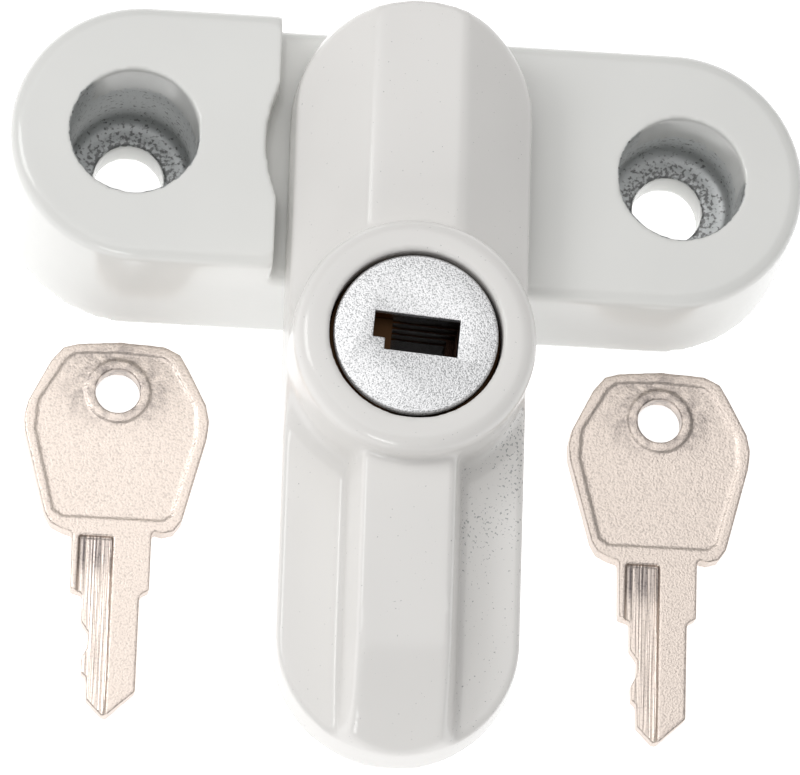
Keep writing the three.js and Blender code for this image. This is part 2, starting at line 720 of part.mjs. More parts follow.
// The cam's rim rises evenly through a quarter turn, so the bolt moves in step with the key.
function camRadiusAt(degrees) {
  const angle = ((degrees % 360) + 360) % 360;
  if (angle <= 90) {
    return camReach - (BOLT_TRAVEL * angle) / 90;
  }
  if (angle >= 345) {
    return camReach;
  }
  if (angle >= 305) {
    return camRadius + (BOLT_TRAVEL * (angle - 305)) / 40;
  }
  return camRadius;
}

function cam() {
  const rim = [];
  for (let degrees = 0; degrees < 360; degrees += 5) {
    const radius = camRadiusAt(degrees);
    const angle = THREE.MathUtils.degToRad(degrees - KEYWAY_TILT);
    rim.push([radius * Math.cos(angle), radius * Math.sin(angle)]);
  }
  const hole = disc(tailRadius + RUN / 2, 0, crest);
  const flat = tailFlat + RUN / 2;
  const across = block(-far, far, -flat, flat, 0, crest);
  return cut(prism(outline(rim), boltBottom, boltBottom + BOLT_THICKNESS), hole.intersect(across));
}

function wafer(index) {
  const bottom = waferBottom(index);
  const top = bottom + WAFER_THICKNESS;
  const rim = PLUG_RADIUS - RUN;
  const plate = disc(rim, bottom, top)
    .intersect(block(-rim, rim, -waferHalf, waferHalf, bottom - 1, top + 1));
  const tab = block(TAB_START, TAB_START + TAB_LENGTH, waferHalf - 1, tabReach, bottom, top);
  const windowHalf = keywayHeight / 2 + RUN;
  const left = -KEY_BLADE_LEFT + WINDOW_START + WINDOW_STEP * (index % 2);
  return cut(join(plate, tab), block(left, rim - WAFER_END, -windowHalf, windowHalf, bottom - 1, top + 1));
}

function waferSpring(index) {
  const length = TAB_START - WAFER_SPRING_START - RUN;
  const y = waferHalf + RUN + WAFER_SPRING_RADIUS + 2 * WAFER_SPRING_WIRE + RUN;
  const z = waferBottom(index) + WAFER_THICKNESS / 2;
  return coil(WAFER_SPRING_RADIUS, WAFER_SPRING_WIRE, length, 3).translate(WAFER_SPRING_START, y, z);
}

// Bolt pieces, in the arm's frame at rest with the bolt drawn back.
const shoulderHalf = BOLT_WIDTH / 2 + BOLT_SHOULDER;

function lockBolt() {
  const half = BOLT_WIDTH / 2;
  return prism(
    outline([
      [-BOLT_NOSE_WIDTH / 2, boltRear],
      [BOLT_NOSE_WIDTH / 2, boltRear],
      [shoulderHalf, boltShoulder - BOLT_SHOULDER_DEPTH],
      [shoulderHalf, boltShoulder],
      [half, boltShoulder],
      [half, boltTip - BOLT_CHAMFER],
      [half - BOLT_CHAMFER, boltTip],
      [-half + BOLT_CHAMFER, boltTip],
      [-half, boltTip - BOLT_CHAMFER],
      [-half, boltShoulder],
      [-shoulderHalf, boltShoulder],
      [-shoulderHalf, boltShoulder - BOLT_SHOULDER_DEPTH],
    ]),
    boltBottom,
    boltBottom + BOLT_THICKNESS,
  );
}

function boltSpring(side) {
  const x = side * (BOLT_WIDTH / 2 + BOLT_SPRING_OFFSET);
  return coil(BOLT_SPRING_RADIUS, BOLT_SPRING_WIRE, BOLT_SPRING_LENGTH, 3)
    .rotateZ(Math.PI / 2)
    .translate(x, boltShoulder + RUN / 5, boltBottom + BOLT_THICKNESS / 2);
}

// A flat key on the mounting plane, the hole in its bow at its origin, its tip towards -Y. The
// bow is a shallow arc over two shoulders, with sides that draw in to the shank.
function keyOutline() {
  const wide = KEY_BOW_HALF;
  const foot = -KEY_BOW_FOOT;
  const shape = new THREE.Shape();
  shape.moveTo(KEY_SHANK_HALF, -KEY_SHANK_END + KEY_STEP);
  shape.lineTo(KEY_SHANK_HALF, foot + RUN);
  shape.quadraticCurveTo(wide * 0.62, foot - LOOSE, wide * 0.75, foot + 1.4);
  shape.lineTo(wide - 0.15, -4.1);
  shape.quadraticCurveTo(wide + 0.15, -2.6, wide - 0.5, -1.2);
  shape.lineTo(6.4, 2.7);
  shape.quadraticCurveTo(5.7, 4.2, 4.2, 4.4);
  shape.quadraticCurveTo(0, KEY_BOW_TOP + LOOSE, -4.2, 4.4);
  shape.quadraticCurveTo(-5.7, 4.2, -6.4, 2.7);
  shape.lineTo(-wide + 0.5, -1.2);
  shape.quadraticCurveTo(-wide - 0.15, -2.6, -wide + 0.15, -4.1);
  shape.lineTo(-wide * 0.75, foot + 1.4);
  shape.quadraticCurveTo(-wide * 0.62, foot - LOOSE, -KEY_SHANK_HALF, foot + RUN);
  shape.lineTo(-KEY_SHANK_HALF, -KEY_SHANK_END);
  shape.lineTo(-KEY_BLADE_LEFT, -KEY_SHANK_END - KEY_STEP / 2);
  keyCuts(shape);
  shape.lineTo(KEY_BLADE_RIGHT, -KEY_TIP + KEY_POINT);
  shape.lineTo(KEY_BLADE_RIGHT, -KEY_SHANK_END - KEY_STEP);
  return shape;
}

// The cuts along the blade's left edge and the pointed tip.
function keyCuts(shape) {
  const shallow = -KEY_BLADE_LEFT;
  const middle = shallow + KEY_MIDDLE_CUT;
  const deep = shallow + KEY_DEEP_CUT;
  shape.lineTo(shallow, -22);
  shape.lineTo(deep, -22.9);
  shape.lineTo(deep, -24.3);
  shape.lineTo(middle, -25.2);
  shape.lineTo(middle, -26.7);
  shape.lineTo(deep, -27);
  shape.lineTo(deep, -KEY_TIP + 1.7);
  shape.lineTo(-KEY_TIP_HALF, -KEY_TIP + RUN);
  shape.lineTo(KEY_TIP_HALF, -KEY_TIP + RUN);
}

function keySolid() {
  const floor = KEY_THICKNESS - KEY_GROOVE_DEPTH;
  const top = KEY_THICKNESS + 1;
  const grooveEnd = -KEY_BOW_FOOT - LOOSE;
  return cut(
    prism(keyOutline(), 0, KEY_THICKNESS, 6),
    disc(KEY_HOLE_RADIUS, -1, top, 0, 0, 32),
    block(-KEY_GROOVE_LEFT, KEY_GROOVE_RIGHT, -KEY_TIP - 1, grooveEnd, floor, top),
  );
}

const finishes = {
  enamel: { color: 0xe6e5e0, roughness: 0.3, metalness: 0.0 },
  steel: { color: 0x9fa2a4, roughness: 0.4, metalness: 1.0 },
  springSteel: { color: 0x7c7f82, roughness: 0.35, metalness: 1.0 },
  brass: { color: 0xb08a4a, roughness: 0.35, metalness: 1.0 },
  chrome: { color: 0xd8d9da, roughness: 0.3, metalness: 1.0 },
  nickel: { color: 0xe0d3c8, roughness: 0.3, metalness: 1.0 },
  nylon: { color: 0xd9d8d2, roughness: 0.6, metalness: 0.0 },
};

// A named mesh from a solid or a geometry.
function piece(name, shape, finish) {
  let geometry = shape;
  if (!shape.isBufferGeometry) {
    const mesh = shape.getMesh();
    geometry = new THREE.BufferGeometry();
    geometry.setAttribute("position", new THREE.BufferAttribute(mesh.vertProperties, 3));
    geometry.setIndex(new THREE.BufferAttribute(mesh.triVerts, 1));
    geometry.computeVertexNormals();
  }
  const mesh = new THREE.Mesh(geometry, new THREE.MeshStandardMaterial(finishes[finish]));
  mesh.name = name;
  return mesh;
}

function baseGroup() {
  const group = new THREE.Group();
  group.add(
    piece("base_body", baseBody(), "enamel"),
    piece("pivot_post", pivotPost(), "steel"),
    piece("thrust_washer", thrustWasher(), "nylon"),
    piece("lock_ring", lockRing(), "steel"),
    piece("post_clip", postClip(), "springSteel"),
  );
  return group;
}

function armGroup() {
  const group = new THREE.Group();
  group.add(
    piece("arm_shell", armShell(), "enamel"),
    piece("arm_plate", armPlate(), "steel"),
    piece("wave_washer", waveWasher(), "springSteel"),
    piece("plate_screw_1", plateScrew(frontScrew), "steel"),
    piece("plate_screw_2", plateScrew(-rearScrew), "steel"),
    piece("sash_pad", sashPad(), "nylon"),
    piece("pad_screw", padScrew(), "steel"),
    piece("housing_pin", pinBar(PIN_RADIUS, pinStart + RUN, pinEnd - RUN), "steel"),
    piece("lock_bolt", lockBolt(), "steel"),
    piece("bolt_spring_1", boltSpring(-1), "springSteel"),
    piece("bolt_spring_2", boltSpring(1), "springSteel"),
  );
  return group;
}

function cylinderGroup() {
  const group = new THREE.Group();
  group.position.set(0, -lockOffset, 0);
  group.rotation.z = THREE.MathUtils.degToRad(KEYWAY_TILT);
  group.add(
    piece("barrel_housing", barrelHousing(), "brass"),
    piece("plug", plug(), "chrome"),
    piece("plug_clip", plugClip(), "springSteel"),
    piece("cam", cam(), "steel"),
  );
  for (let index = 0; index < WAFER_COUNT; index += 1) {
    group.add(piece(`wafer_${index + 1}`, wafer(index), "brass"));
    group.add(piece(`wafer_spring_${index + 1}`, waferSpring(index), "springSteel"));
  }
  return group;
}

function keyGroup() {
  const group = new THREE.Group();
  [-KEY_X, KEY_X].forEach((x, index) => {
    const key = piece(`key_${index + 1}`, keySolid(), "nickel");
    key.position.set(x, keyY, 0);
    group.add(key);
  });
  return group;
}

const windowLock = new THREE.Group();
windowLock.add(baseGroup(), armGroup(), cylinderGroup(), keyGroup());

export default windowLock;
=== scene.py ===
import json
import math

import bmesh
import bpy
from mathutils import Matrix, Vector


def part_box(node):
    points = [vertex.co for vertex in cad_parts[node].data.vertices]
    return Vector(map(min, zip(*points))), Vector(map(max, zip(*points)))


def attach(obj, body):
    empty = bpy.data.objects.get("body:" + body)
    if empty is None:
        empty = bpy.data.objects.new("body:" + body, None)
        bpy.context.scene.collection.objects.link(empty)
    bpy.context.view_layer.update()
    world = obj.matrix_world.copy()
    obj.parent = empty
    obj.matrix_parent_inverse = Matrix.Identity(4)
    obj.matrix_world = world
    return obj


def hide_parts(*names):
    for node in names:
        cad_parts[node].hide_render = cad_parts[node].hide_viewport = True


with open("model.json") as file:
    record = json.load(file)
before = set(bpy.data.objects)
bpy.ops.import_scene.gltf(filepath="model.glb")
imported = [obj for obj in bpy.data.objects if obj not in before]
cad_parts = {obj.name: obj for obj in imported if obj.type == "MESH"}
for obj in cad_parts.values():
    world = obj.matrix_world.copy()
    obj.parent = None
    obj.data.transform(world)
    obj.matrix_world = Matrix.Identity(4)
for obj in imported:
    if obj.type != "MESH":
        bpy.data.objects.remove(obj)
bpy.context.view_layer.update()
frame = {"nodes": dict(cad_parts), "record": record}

bpy.ops.object.select_all(action="DESELECT")


# ---------------------------------------------------------------------------------------------
# Table, lights and camera. The lock lies on a plain white studio table that is lit from within,
# under a large softbox overhead, a smaller one at the left, one in front and a white surround.
# ---------------------------------------------------------------------------------------------
def linear(hex_colour):
    """An sRGB hex value as linear red, green, blue and alpha."""
    channels = [int(hex_colour[i:i + 2], 16) / 255 for i in (0, 2, 4)]
    return [c / 12.92 if c <= 0.04045 else ((c + 0.055) / 1.055) ** 2.4 for c in channels] + [1.0]


def add_node(tree, kind, inputs=None, **settings):
    """One shader node with its settings; each input takes a value or another node's output."""
    made = tree.nodes.new(kind)
    for name, value in settings.items():
        setattr(made, name, value)
    for socket, value in (inputs or {}).items():
        if isinstance(value, bpy.types.NodeSocket):
            tree.links.new(value, made.inputs[socket])
        else:
            made.inputs[socket].default_value = value
    return made


def new_material(name):
    """An empty node material with its output."""
    material = bpy.data.materials.new(name)
    material.use_nodes = True
    material.node_tree.nodes.clear()
    return material, material.node_tree


bpy.ops.mesh.primitive_plane_add(size=3.0, location=(0, 0, -0.00005))
table = bpy.context.object
table.name = "studio_table"
lit_table, tree = new_material("lit_white_table")
surface = add_node(
    tree,
    "ShaderNodeBsdfPrincipled",
    {
        "Base Color": linear("D8D8D8"),
        "Roughness": 0.9,
        "Emission Color": linear("FFFFFF"),
        "Emission Strength": 0.8,
    },
)
add_node(tree, "ShaderNodeOutputMaterial", {"Surface": surface.outputs["BSDF"]})
table.data.materials.append(lit_table)

world = bpy.data.worlds.new("white_surround")
bpy.context.scene.world = world
world.use_nodes = True
world.node_tree.nodes["Background"].inputs["Color"].default_value = linear("FFFFFF")
world.node_tree.nodes["Background"].inputs["Strength"].default_value = 0.38


def area_light(name, place, size, power):
    """A soft square light at place, aimed at the lock."""
    data = bpy.data.lights.new(name, "AREA")
    data.size = size
    data.energy = power
    light = bpy.data.objects.new(name, data)
    bpy.context.scene.collection.objects.link(light)
    light.location = place
    light.rotation_euler = (-Vector(place)).to_track_quat("-Z", "Y").to_euler()


area_light("left_softbox", (-0.30, 0.06, 0.34), 0.16, 0.40)
area_light("overhead_softbox", (-0.06, 0.08, 0.46), 0.48, 0.80)
area_light("front_strip", (-0.14, -0.50, 0.20), 0.16, 0.42)

MM = 0.001
camera_data = bpy.data.cameras.new("camera")
camera_data.lens = 231.0
camera_data.sensor_width = 36.0
camera_data.clip_start = 0.01
camera_data.clip_end = 10.0
camera = bpy.data.objects.new("camera", camera_data)
bpy.context.scene.collection.objects.link(camera)
right = Vector((0.99508, 0.03011, 0.09437))
up = Vector((-0.05538, 0.95899, 0.27799))
back = right.cross(up).normalized()
up = back.cross(right)
camera.matrix_world = Matrix((
    (right.x, up.x, back.x, -38.29 * MM),
    (right.y, up.y, back.y, -152.43 * MM),
    (right.z, up.z, back.z, 457.7 * MM),
    (0, 0, 0, 1),
))
bpy.context.scene.camera = camera
bpy.context.scene.view_settings.view_transform = "Standard"


# ---------------------------------------------------------------------------------------------
# Base casting. A zinc pressure die casting, powder coated white all over; the screw seats are
# spot-faced afterwards, which leaves them bare.
# ---------------------------------------------------------------------------------------------
def finish_piece(piece, name, body, slot, *nodes):
    """Names a finished piece, gives it its body and hides the CAD nodes it replaces. The slot is
    not used.
    """
    piece.name = name
    piece.data.name = name
    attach(piece, body)
    if nodes:
        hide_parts(*nodes)
    bpy.ops.object.select_all(action="DESELECT")


def cylinder(radius, low, high, x=0.0, y=0.0, sides=96, radius_high=None):
    """An upright round bar or cone, in millimetres, with its place in its mesh."""
    bpy.ops.mesh.primitive_cone_add(
        vertices=sides,
        radius1=radius * MM,
        radius2=(radius if radius_high is None else radius_high) * MM,
        depth=(high - low) * MM,
        location=(x * MM, y * MM, (low + high) / 2 * MM),
        rotation=(0, 0, math.pi / sides),
    )
    bpy.ops.object.transform_apply(location=True, rotation=True, scale=True)
    return bpy.context.object


def box(x0, x1, y0, y1, z0, z1):
    """A rectangular block between two corners, in millimetres."""
    bpy.ops.mesh.primitive_cube_add(
        size=1.0, location=((x0 + x1) / 2 * MM, (y0 + y1) / 2 * MM, (z0 + z1) / 2 * MM)
    )
    bpy.context.object.scale = ((x1 - x0) * MM, (y1 - y0) * MM, (z1 - z0) * MM)
    bpy.ops.object.transform_apply(location=True, rotation=True, scale=True)
    return bpy.context.object


def open_mesh(piece, mode):
    """Opens one piece alone for editing, with nothing in it selected."""
    bpy.ops.object.select_all(action="DESELECT")
    piece.select_set(True)
    bpy.context.view_layer.objects.active = piece
    bpy.ops.object.mode_set(mode="EDIT")
    bpy.ops.mesh.select_mode(type=mode)
    bpy.ops.mesh.select_all(action="DESELECT")


def pull_apart(piece, axis, forward, back):
    """Moves the two halves of a round bar apart along an axis, which makes it an obround."""
    open_mesh(piece, "VERT")
    for side, reach in ((1, forward), (-1, back)):
        mesh = bmesh.from_edit_mesh(piece.data)
        for vertex in mesh.verts:
            vertex.select_set(vertex.co[axis] * side > 0)
        mesh.select_flush(False)
        bmesh.update_edit_mesh(piece.data)
        step = [0.0, 0.0, 0.0]
        step[axis] = side * reach * MM
        bpy.ops.transform.translate(value=step)
    bpy.ops.object.mode_set(mode="OBJECT")
    return piece


def bisect(piece, point, normal):
    """Cuts away what lies on the normal's side of a plane and closes the cut."""
    open_mesh(piece, "VERT")
    bpy.ops.mesh.select_all(action="SELECT")
    bpy.ops.mesh.bisect(
        plane_co=[c * MM for c in point],
        plane_no=Vector(normal).normalized(),
        use_fill=True,
        clear_outer=True,
    )
    bpy.ops.object.mode_set(mode="OBJECT")
    return piece


def combine(piece, tool, operation="DIFFERENCE"):
    """Cuts, joins or intersects a piece with a tool, which is used up."""
    bpy.ops.object.select_all(action="DESELECT")
    bpy.context.view_layer.objects.active = piece
    step = piece.modifiers.new("combine", "BOOLEAN")
    step.object = tool
    step.operation = operation
    step.solver = "MANIFOLD"
    bpy.ops.object.modifier_apply(modifier=step.name)
    bpy.data.objects.remove(tool)
    return piece


def cast_surface(piece, grain, passes):
    """Gives a casting its even skin: a fine quad mesh whose corners are softened."""
    bpy.context.view_layer.objects.active = piece
    skin = piece.modifiers.new("skin", "REMESH")
    skin.mode = "VOXEL"
    skin.voxel_size = grain * MM
    bpy.ops.object.modifier_apply(modifier=skin.name)
    soft = piece.modifiers.new("soft", "SMOOTH")
    soft.factor = 0.5
    soft.iterations = passes
    bpy.ops.object.modifier_apply(modifier=soft.name)
    bpy.ops.object.select_all(action="DESELECT")
    piece.select_set(True)
    bpy.ops.object.shade_smooth()
    return piece


def cut_mesh(piece, tools):
    """Cuts sharp hollows into a finished skin, with all the tools joined first."""
    cutter = tools[0]
    for tool in tools[1:]:
        combine(cutter, tool, "UNION")
    return combine(piece, cutter)


base_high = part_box("base_body")[1]
BASE_TOP = 13.8
BLOCK_TOP = base_high.z / MM
BASE_RADIUS = base_high.y / MM
BASE_REACH = base_high.x / MM - BASE_RADIUS
DRAFT = 0.035
BASE_ROUND = 1.1
BASE_GRAIN, BASE_PASSES = 0.3, 7
BLOCK_EDGE = 12.3
HOLLOW_RADIUS = 13.35
SEAT_X = 25.3
SEAT_RADIUS = 5.8
SEAT_TOP = 4.2
SEAT_CHAMFER = 0.6
HOLE_RADIUS = 3.25
POST_FOOT, POST_FOOT_DEPTH = 7.2, 2.2
POST_NECK, POST_NECK_DEPTH = 4.0, 6.2
POST_HOLE = 4.1
POCKET_START, POCKET_END = 9.6, 16.0
POCKET_LOW, POCKET_HIGH = 1.2, 8.2
POCKET_DEPTH = 7


def select_edges(piece, test):
    """Opens a piece for editing with only the edges that pass the test selected."""
    open_mesh(piece, "EDGE")
    mesh = bmesh.from_edit_mesh(piece.data)
    for edge in mesh.edges:
        edge.select_set(all(test(vertex.co) for vertex in edge.verts))
    bmesh.update_edit_mesh(piece.data)


def round_rim(piece, height, width):
    """Rounds the edges that lie at a height."""
    select_edges(piece, lambda place: abs(place.z - height * MM) < 0.05 * MM)
    bpy.ops.mesh.bevel(offset=width * MM, segments=5)
    bpy.ops.object.mode_set(mode="OBJECT")
    return piece


def base_layer(top):
    """The base's outline, drafted, up to a height, with its top edge rounded."""
    layer = cylinder(BASE_RADIUS, 0, top, radius_high=BASE_RADIUS - DRAFT * top)
    round_rim(layer, top, BASE_ROUND)
    return pull_apart(layer, 0, BASE_REACH, BASE_REACH)


base = base_layer(BASE_TOP)
stop_block = bisect(base_layer(BLOCK_TOP), (-BLOCK_EDGE, 0, 0), (1, 0, 0))
combine(stop_block, cylinder(HOLLOW_RADIUS, BASE_TOP, BLOCK_TOP + 2, sides=160))
combine(base, stop_block, "UNION")
for x in (-SEAT_X, SEAT_X):
    combine(base, cylinder(SEAT_RADIUS, SEAT_TOP + SEAT_CHAMFER, BLOCK_TOP + 2, x))
    chamfer_top = SEAT_TOP + SEAT_CHAMFER + 0.01
    chamfer_low = SEAT_RADIUS - SEAT_CHAMFER
    combine(base, cylinder(chamfer_low, SEAT_TOP, chamfer_top, x, radius_high=SEAT_RADIUS))
    combine(base, cylinder(HOLE_RADIUS, -2, BLOCK_TOP, x, sides=64))
cast_surface(base, BASE_GRAIN, BASE_PASSES)
back_hollows = [
    cylinder(POST_FOOT, -1, POST_FOOT_DEPTH),
    box(-POST_NECK, POST_NECK, -POST_NECK, POST_NECK, 0, POST_NECK_DEPTH),
    cylinder(POST_HOLE, 0, BASE_TOP + 1),
]
for side in (-1, 1):
    x0, x1 = sorted((side * POCKET_START, side * POCKET_END))
    back_hollows.append(box(x0, x1, POCKET_LOW, POCKET_HIGH, -1, POCKET_DEPTH))
    back_hollows.append(box(x0, x1, -POCKET_HIGH, -POCKET_LOW, -1, POCKET_DEPTH))
cut_mesh(base, back_hollows)


def coat_nodes(tree, colour):
    """Polyester powder coat over zinc: white and glossy, with a faint orange peel some 1.5 mm
    wide, a few dust grains under the coat and a slow drift in its whiteness."""
    place = add_node(tree, "ShaderNodeTexCoord").outputs["Object"]
    peel = add_node(tree, "ShaderNodeTexNoise", {"Vector": place, "Scale": 650.0, "Detail": 1.5})
    dust = add_node(tree, "ShaderNodeTexNoise", {"Vector": place, "Scale": 2200.0, "Detail": 1.0})
    grains = add_node(
        tree,
        "ShaderNodeMapRange",
        {"Value": dust.outputs["Fac"], "From Min": 0.74, "From Max": 0.88, "To Max": 0.7},
    )
    height = add_node(
        tree,
        "ShaderNodeMath",
        {0: peel.outputs["Fac"], 1: grains.outputs["Result"]},
        operation="ADD",
    )
    bump = add_node(
        tree,
        "ShaderNodeBump",
        {"Strength": 0.3, "Distance": 0.00003, "Height": height.outputs["Value"]},
    )
    drift = add_node(tree, "ShaderNodeTexNoise", {"Vector": place, "Scale": 70.0, "Detail": 2.0})
    spread = add_node(
        tree,
        "ShaderNodeMapRange",
        {"Value": drift.outputs["Fac"], "From Min": 0.35, "From Max": 0.65},
    )
    shade = add_node(
        tree,
        "ShaderNodeMix",
        {
            "Factor": spread.outputs["Result"],
            "A": linear(colour),
            "B": [c * 0.97 for c in linear(colour)[:3]] + [1.0],
        },
        data_type="RGBA",
    )
    coat = add_node(
        tree,
        "ShaderNodeBsdfPrincipled",
        {
            "Base Color": shade.outputs["Result"],
            "Roughness": 0.16,
            "IOR": 1.5,
            "Normal": bump.outputs["Normal"],
        },
    )
    return place, coat


def base_coat():
    """The base's coat, cut away by the spot-facing of the screw seats. The bare zinc is dull
    grey and pitted round the hole; thin rough paint is left on the back half of each bore."""
    material, tree = new_material("white_powder_coat_spot_faced")
    place, coat = coat_nodes(tree, "E6E6E3")
    axes = add_node(tree, "ShaderNodeSeparateXYZ", {"Vector": place}).outputs
    ragged = add_node(
        tree, "ShaderNodeTexNoise", {"Vector": place, "Scale": 1500.0, "Detail": 4.0}
    ).outputs["Fac"]
    side = add_node(tree, "ShaderNodeMath", {0: axes["X"]}, operation="SIGN").outputs[0]
    across = add_node(
        tree, "ShaderNodeMath", {0: side, 1: -SEAT_X * MM, 2: axes["X"]}, operation="MULTIPLY_ADD"
    ).outputs[0]
    flat = add_node(tree, "ShaderNodeCombineXYZ", {"X": across, "Y": axes["Y"]}).outputs[0]
    radius = add_node(tree, "ShaderNodeVectorMath", {0: flat}, operation="LENGTH").outputs["Value"]
    reach = add_node(
        tree,
        "ShaderNodeMath",
        {0: ragged, 1: 0.55 * MM, 2: (SEAT_RADIUS - 0.13) * MM},
        operation="MULTIPLY_ADD",
    ).outputs[0]
    inside = add_node(
        tree, "ShaderNodeMath", {0: radius, 1: reach}, operation="LESS_THAN"
    ).outputs[0]
    above = add_node(
        tree, "ShaderNodeMath", {0: axes["Z"], 1: (SEAT_TOP - 0.25) * MM}, operation="GREATER_THAN"
    ).outputs[0]
    bored = add_node(tree, "ShaderNodeMath", {0: inside, 1: above}, operation="MULTIPLY").outputs[0]

    rim = add_node(
        tree,
        "ShaderNodeMapRange",
        {
            "Value": axes["X"],
            "From Min": -0.1 * MM,
            "From Max": 0.1 * MM,
            "To Min": BLOCK_TOP * MM,
            "To Max": BASE_TOP * MM,
        },
    ).outputs["Result"]
    depth = add_node(
        tree, "ShaderNodeMath", {0: rim, 1: axes["Z"]}, operation="SUBTRACT"
    ).outputs[0]
    patchy = add_node(
        tree,
        "ShaderNodeMath",
        {0: ragged, 1: -3.2 * MM, 2: depth},
        operation="MULTIPLY_ADD",
    ).outputs[0]
    shallow = add_node(
        tree,
        "ShaderNodeMapRange",
        {"Value": patchy, "From Min": 3.2 * MM, "From Max": 3.9 * MM, "To Min": 1.0, "To Max": 0.0},
    ).outputs["Result"]
    slant = add_node(
        tree, "ShaderNodeMath", {0: across, 1: 0.45, 2: axes["Y"]}, operation="MULTIPLY_ADD"
    ).outputs[0]
    behind = add_node(
        tree, "ShaderNodeMapRange", {"Value": slant, "From Min": 2.2 * MM, "From Max": 3.0 * MM}
    ).outputs["Result"]
    thin_paint = add_node(
        tree, "ShaderNodeMath", {0: shallow, 1: behind}, operation="MULTIPLY"
    ).outputs[0]
    covered = add_node(
        tree, "ShaderNodeMath", {0: thin_paint, 1: -0.95, 2: 1.0}, operation="MULTIPLY_ADD"
    ).outputs[0]
    bare = add_node(tree, "ShaderNodeMath", {0: bored, 1: covered}, operation="MULTIPLY").outputs[0]

    grit = add_node(tree, "ShaderNodeTexNoise", {"Vector": place, "Scale": 2600.0, "Detail": 3.0})
    bump = add_node(
        tree,
        "ShaderNodeBump",
        {"Strength": 0.6, "Distance": 0.00006, "Height": grit.outputs["Fac"]},
    )
    from_hole = add_node(
        tree,
        "ShaderNodeMapRange",
        {
            "Value": radius,
            "From Min": (HOLE_RADIUS + 0.2) * MM,
            "From Max": (HOLE_RADIUS + 2.2) * MM,
            "To Min": 0.16,
            "To Max": 0.0,
        },
    ).outputs["Result"]
    pitted = add_node(
        tree, "ShaderNodeMath", {0: grit.outputs["Fac"], 1: from_hole}, operation="SUBTRACT"
    ).outputs[0]
    clean = add_node(
        tree, "ShaderNodeMapRange", {"Value": pitted, "From Min": 0.32, "From Max": 0.42}
    ).outputs["Result"]
    tint = add_node(
        tree,
        "ShaderNodeMix",
        {"Factor": clean, "A": linear("8A8A8A"), "B": linear("CDCFCF")},
        data_type="RGBA",
    )
    zinc = add_node(
        tree,
        "ShaderNodeBsdfPrincipled",
        {
            "Base Color": tint.outputs["Result"],
            "Roughness": 0.55,
            "Metallic": 1.0,
            "Normal": bump.outputs["Normal"],
        },
    )
    both = add_node(
        tree, "ShaderNodeMixShader", {"Fac": bare, 1: coat.outputs["BSDF"], 2: zinc.outputs["BSDF"]}
    )
    add_node(tree, "ShaderNodeOutputMaterial", {"Surface": both.outputs["Shader"]})
    return material


base.data.materials.clear()
base.data.materials.append(base_coat())
finish_piece(base, "base_casting", "base", "white_enamel", "base_body")


# ---------------------------------------------------------------------------------------------
# Arm casting. The same white coated zinc: a deck with a roof-like short end, a ridge with two
# wings towards the long end, and a round boss for the cylinder.
# ---------------------------------------------------------------------------------------------
arm_low, arm_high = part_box("arm_shell")
ARM_BOTTOM = arm_low.z / MM
BOSS_TOP = arm_high.z / MM
ARM_RADIUS = arm_high.x / MM
EAVE_RISE, CREST_RISE = 4.5, 5.8
EAVE = ARM_BOTTOM + EAVE_RISE
CREST = EAVE + CREST_RISE
EAVE_RADIUS = 10.75
SHORT_END = 3.0
LONG_END = 45.9
SWING_RADIUS = 13.0
END_LEAN = 1.6
SWING_LEAN = 1.45
SWING_ABOVE, SWING_BEYOND = 1.16, 100
RIDGE_CREST = 4.05
RIDGE_FOOT = 5.3
LOCK_Y = -20.5
BOSS_RADIUS = 10.8
BOSS_ROUND = 1.6
FLARE = 2.2
RIDGE_END = 0.3
RIDGE_END_RADIUS = 15.4
RIDGE_SUNK = 0.2
CREST_ROUND = 0.7
END_STEPS = 14
BORE_RADIUS = 7.7
ARM_GRAIN, ARM_PASSES = 0.3, 7


def select_top(piece):
    """Opens a piece for editing with only its top faces selected."""
    open_mesh(piece, "FACE")
    mesh = bmesh.from_edit_mesh(piece.data)
    for face in mesh.faces:
        face.select_set(face.normal.z > 0.9)
    bmesh.update_edit_mesh(piece.data)


def stepped_bar(radius_low, low, radius_mid, mid, radius_high, high):
    """A round bar in two drafted steps, made by drawing the first step's top face up."""
    bar = cylinder(radius_low, low, mid, radius_high=radius_mid)
    select_top(bar)
    bpy.ops.mesh.extrude_region_move(TRANSFORM_OT_translate={"value": (0, 0, (high - mid) * MM)})
    ratio = radius_high / radius_mid
    bpy.ops.transform.resize(value=(ratio, ratio, 1))
    bpy.ops.object.mode_set(mode="OBJECT")
    return bar


def arm_blank(wall=0.0, low=ARM_BOTTOM):
    """The arm's outline up to the ridge, moved in by a wall for the inside; the ends lean back
    above the eave."""
    eave_radius = EAVE_RADIUS - wall
    blank = stepped_bar(ARM_RADIUS - wall, low, eave_radius, EAVE, eave_radius - END_LEAN, CREST)
    swing_radius = SWING_RADIUS - wall
    swing_top = swing_radius - SWING_LEAN
    above = CREST + SWING_ABOVE
    swing = stepped_bar(swing_radius, low - 1, swing_radius, EAVE, swing_top, above)
    pull_apart(blank, 1, SHORT_END, LONG_END)
    return combine(blank, pull_apart(swing, 1, 0, SWING_BEYOND), "INTERSECT")


# The roof's two slopes are cut over the short end, and all above the wings over the long end.
arm = arm_blank()
far = 3 * ARM_RADIUS
roof_rise, roof_run = CREST - EAVE, EAVE_RADIUS - RIDGE_CREST
for side in (-1, 1):
    x0, x1 = sorted((side * 0.5, side * far))
    above_roof = box(x0, x1, LOCK_Y, far, EAVE - 9, CREST + 2)
    bisect(above_roof, (side * RIDGE_CREST, 0, CREST), (-side * roof_rise, 0, -roof_run))
    combine(arm, above_roof)
combine(arm, box(-far, far, -LONG_END - far, LOCK_Y + 1, EAVE, CREST + 2))

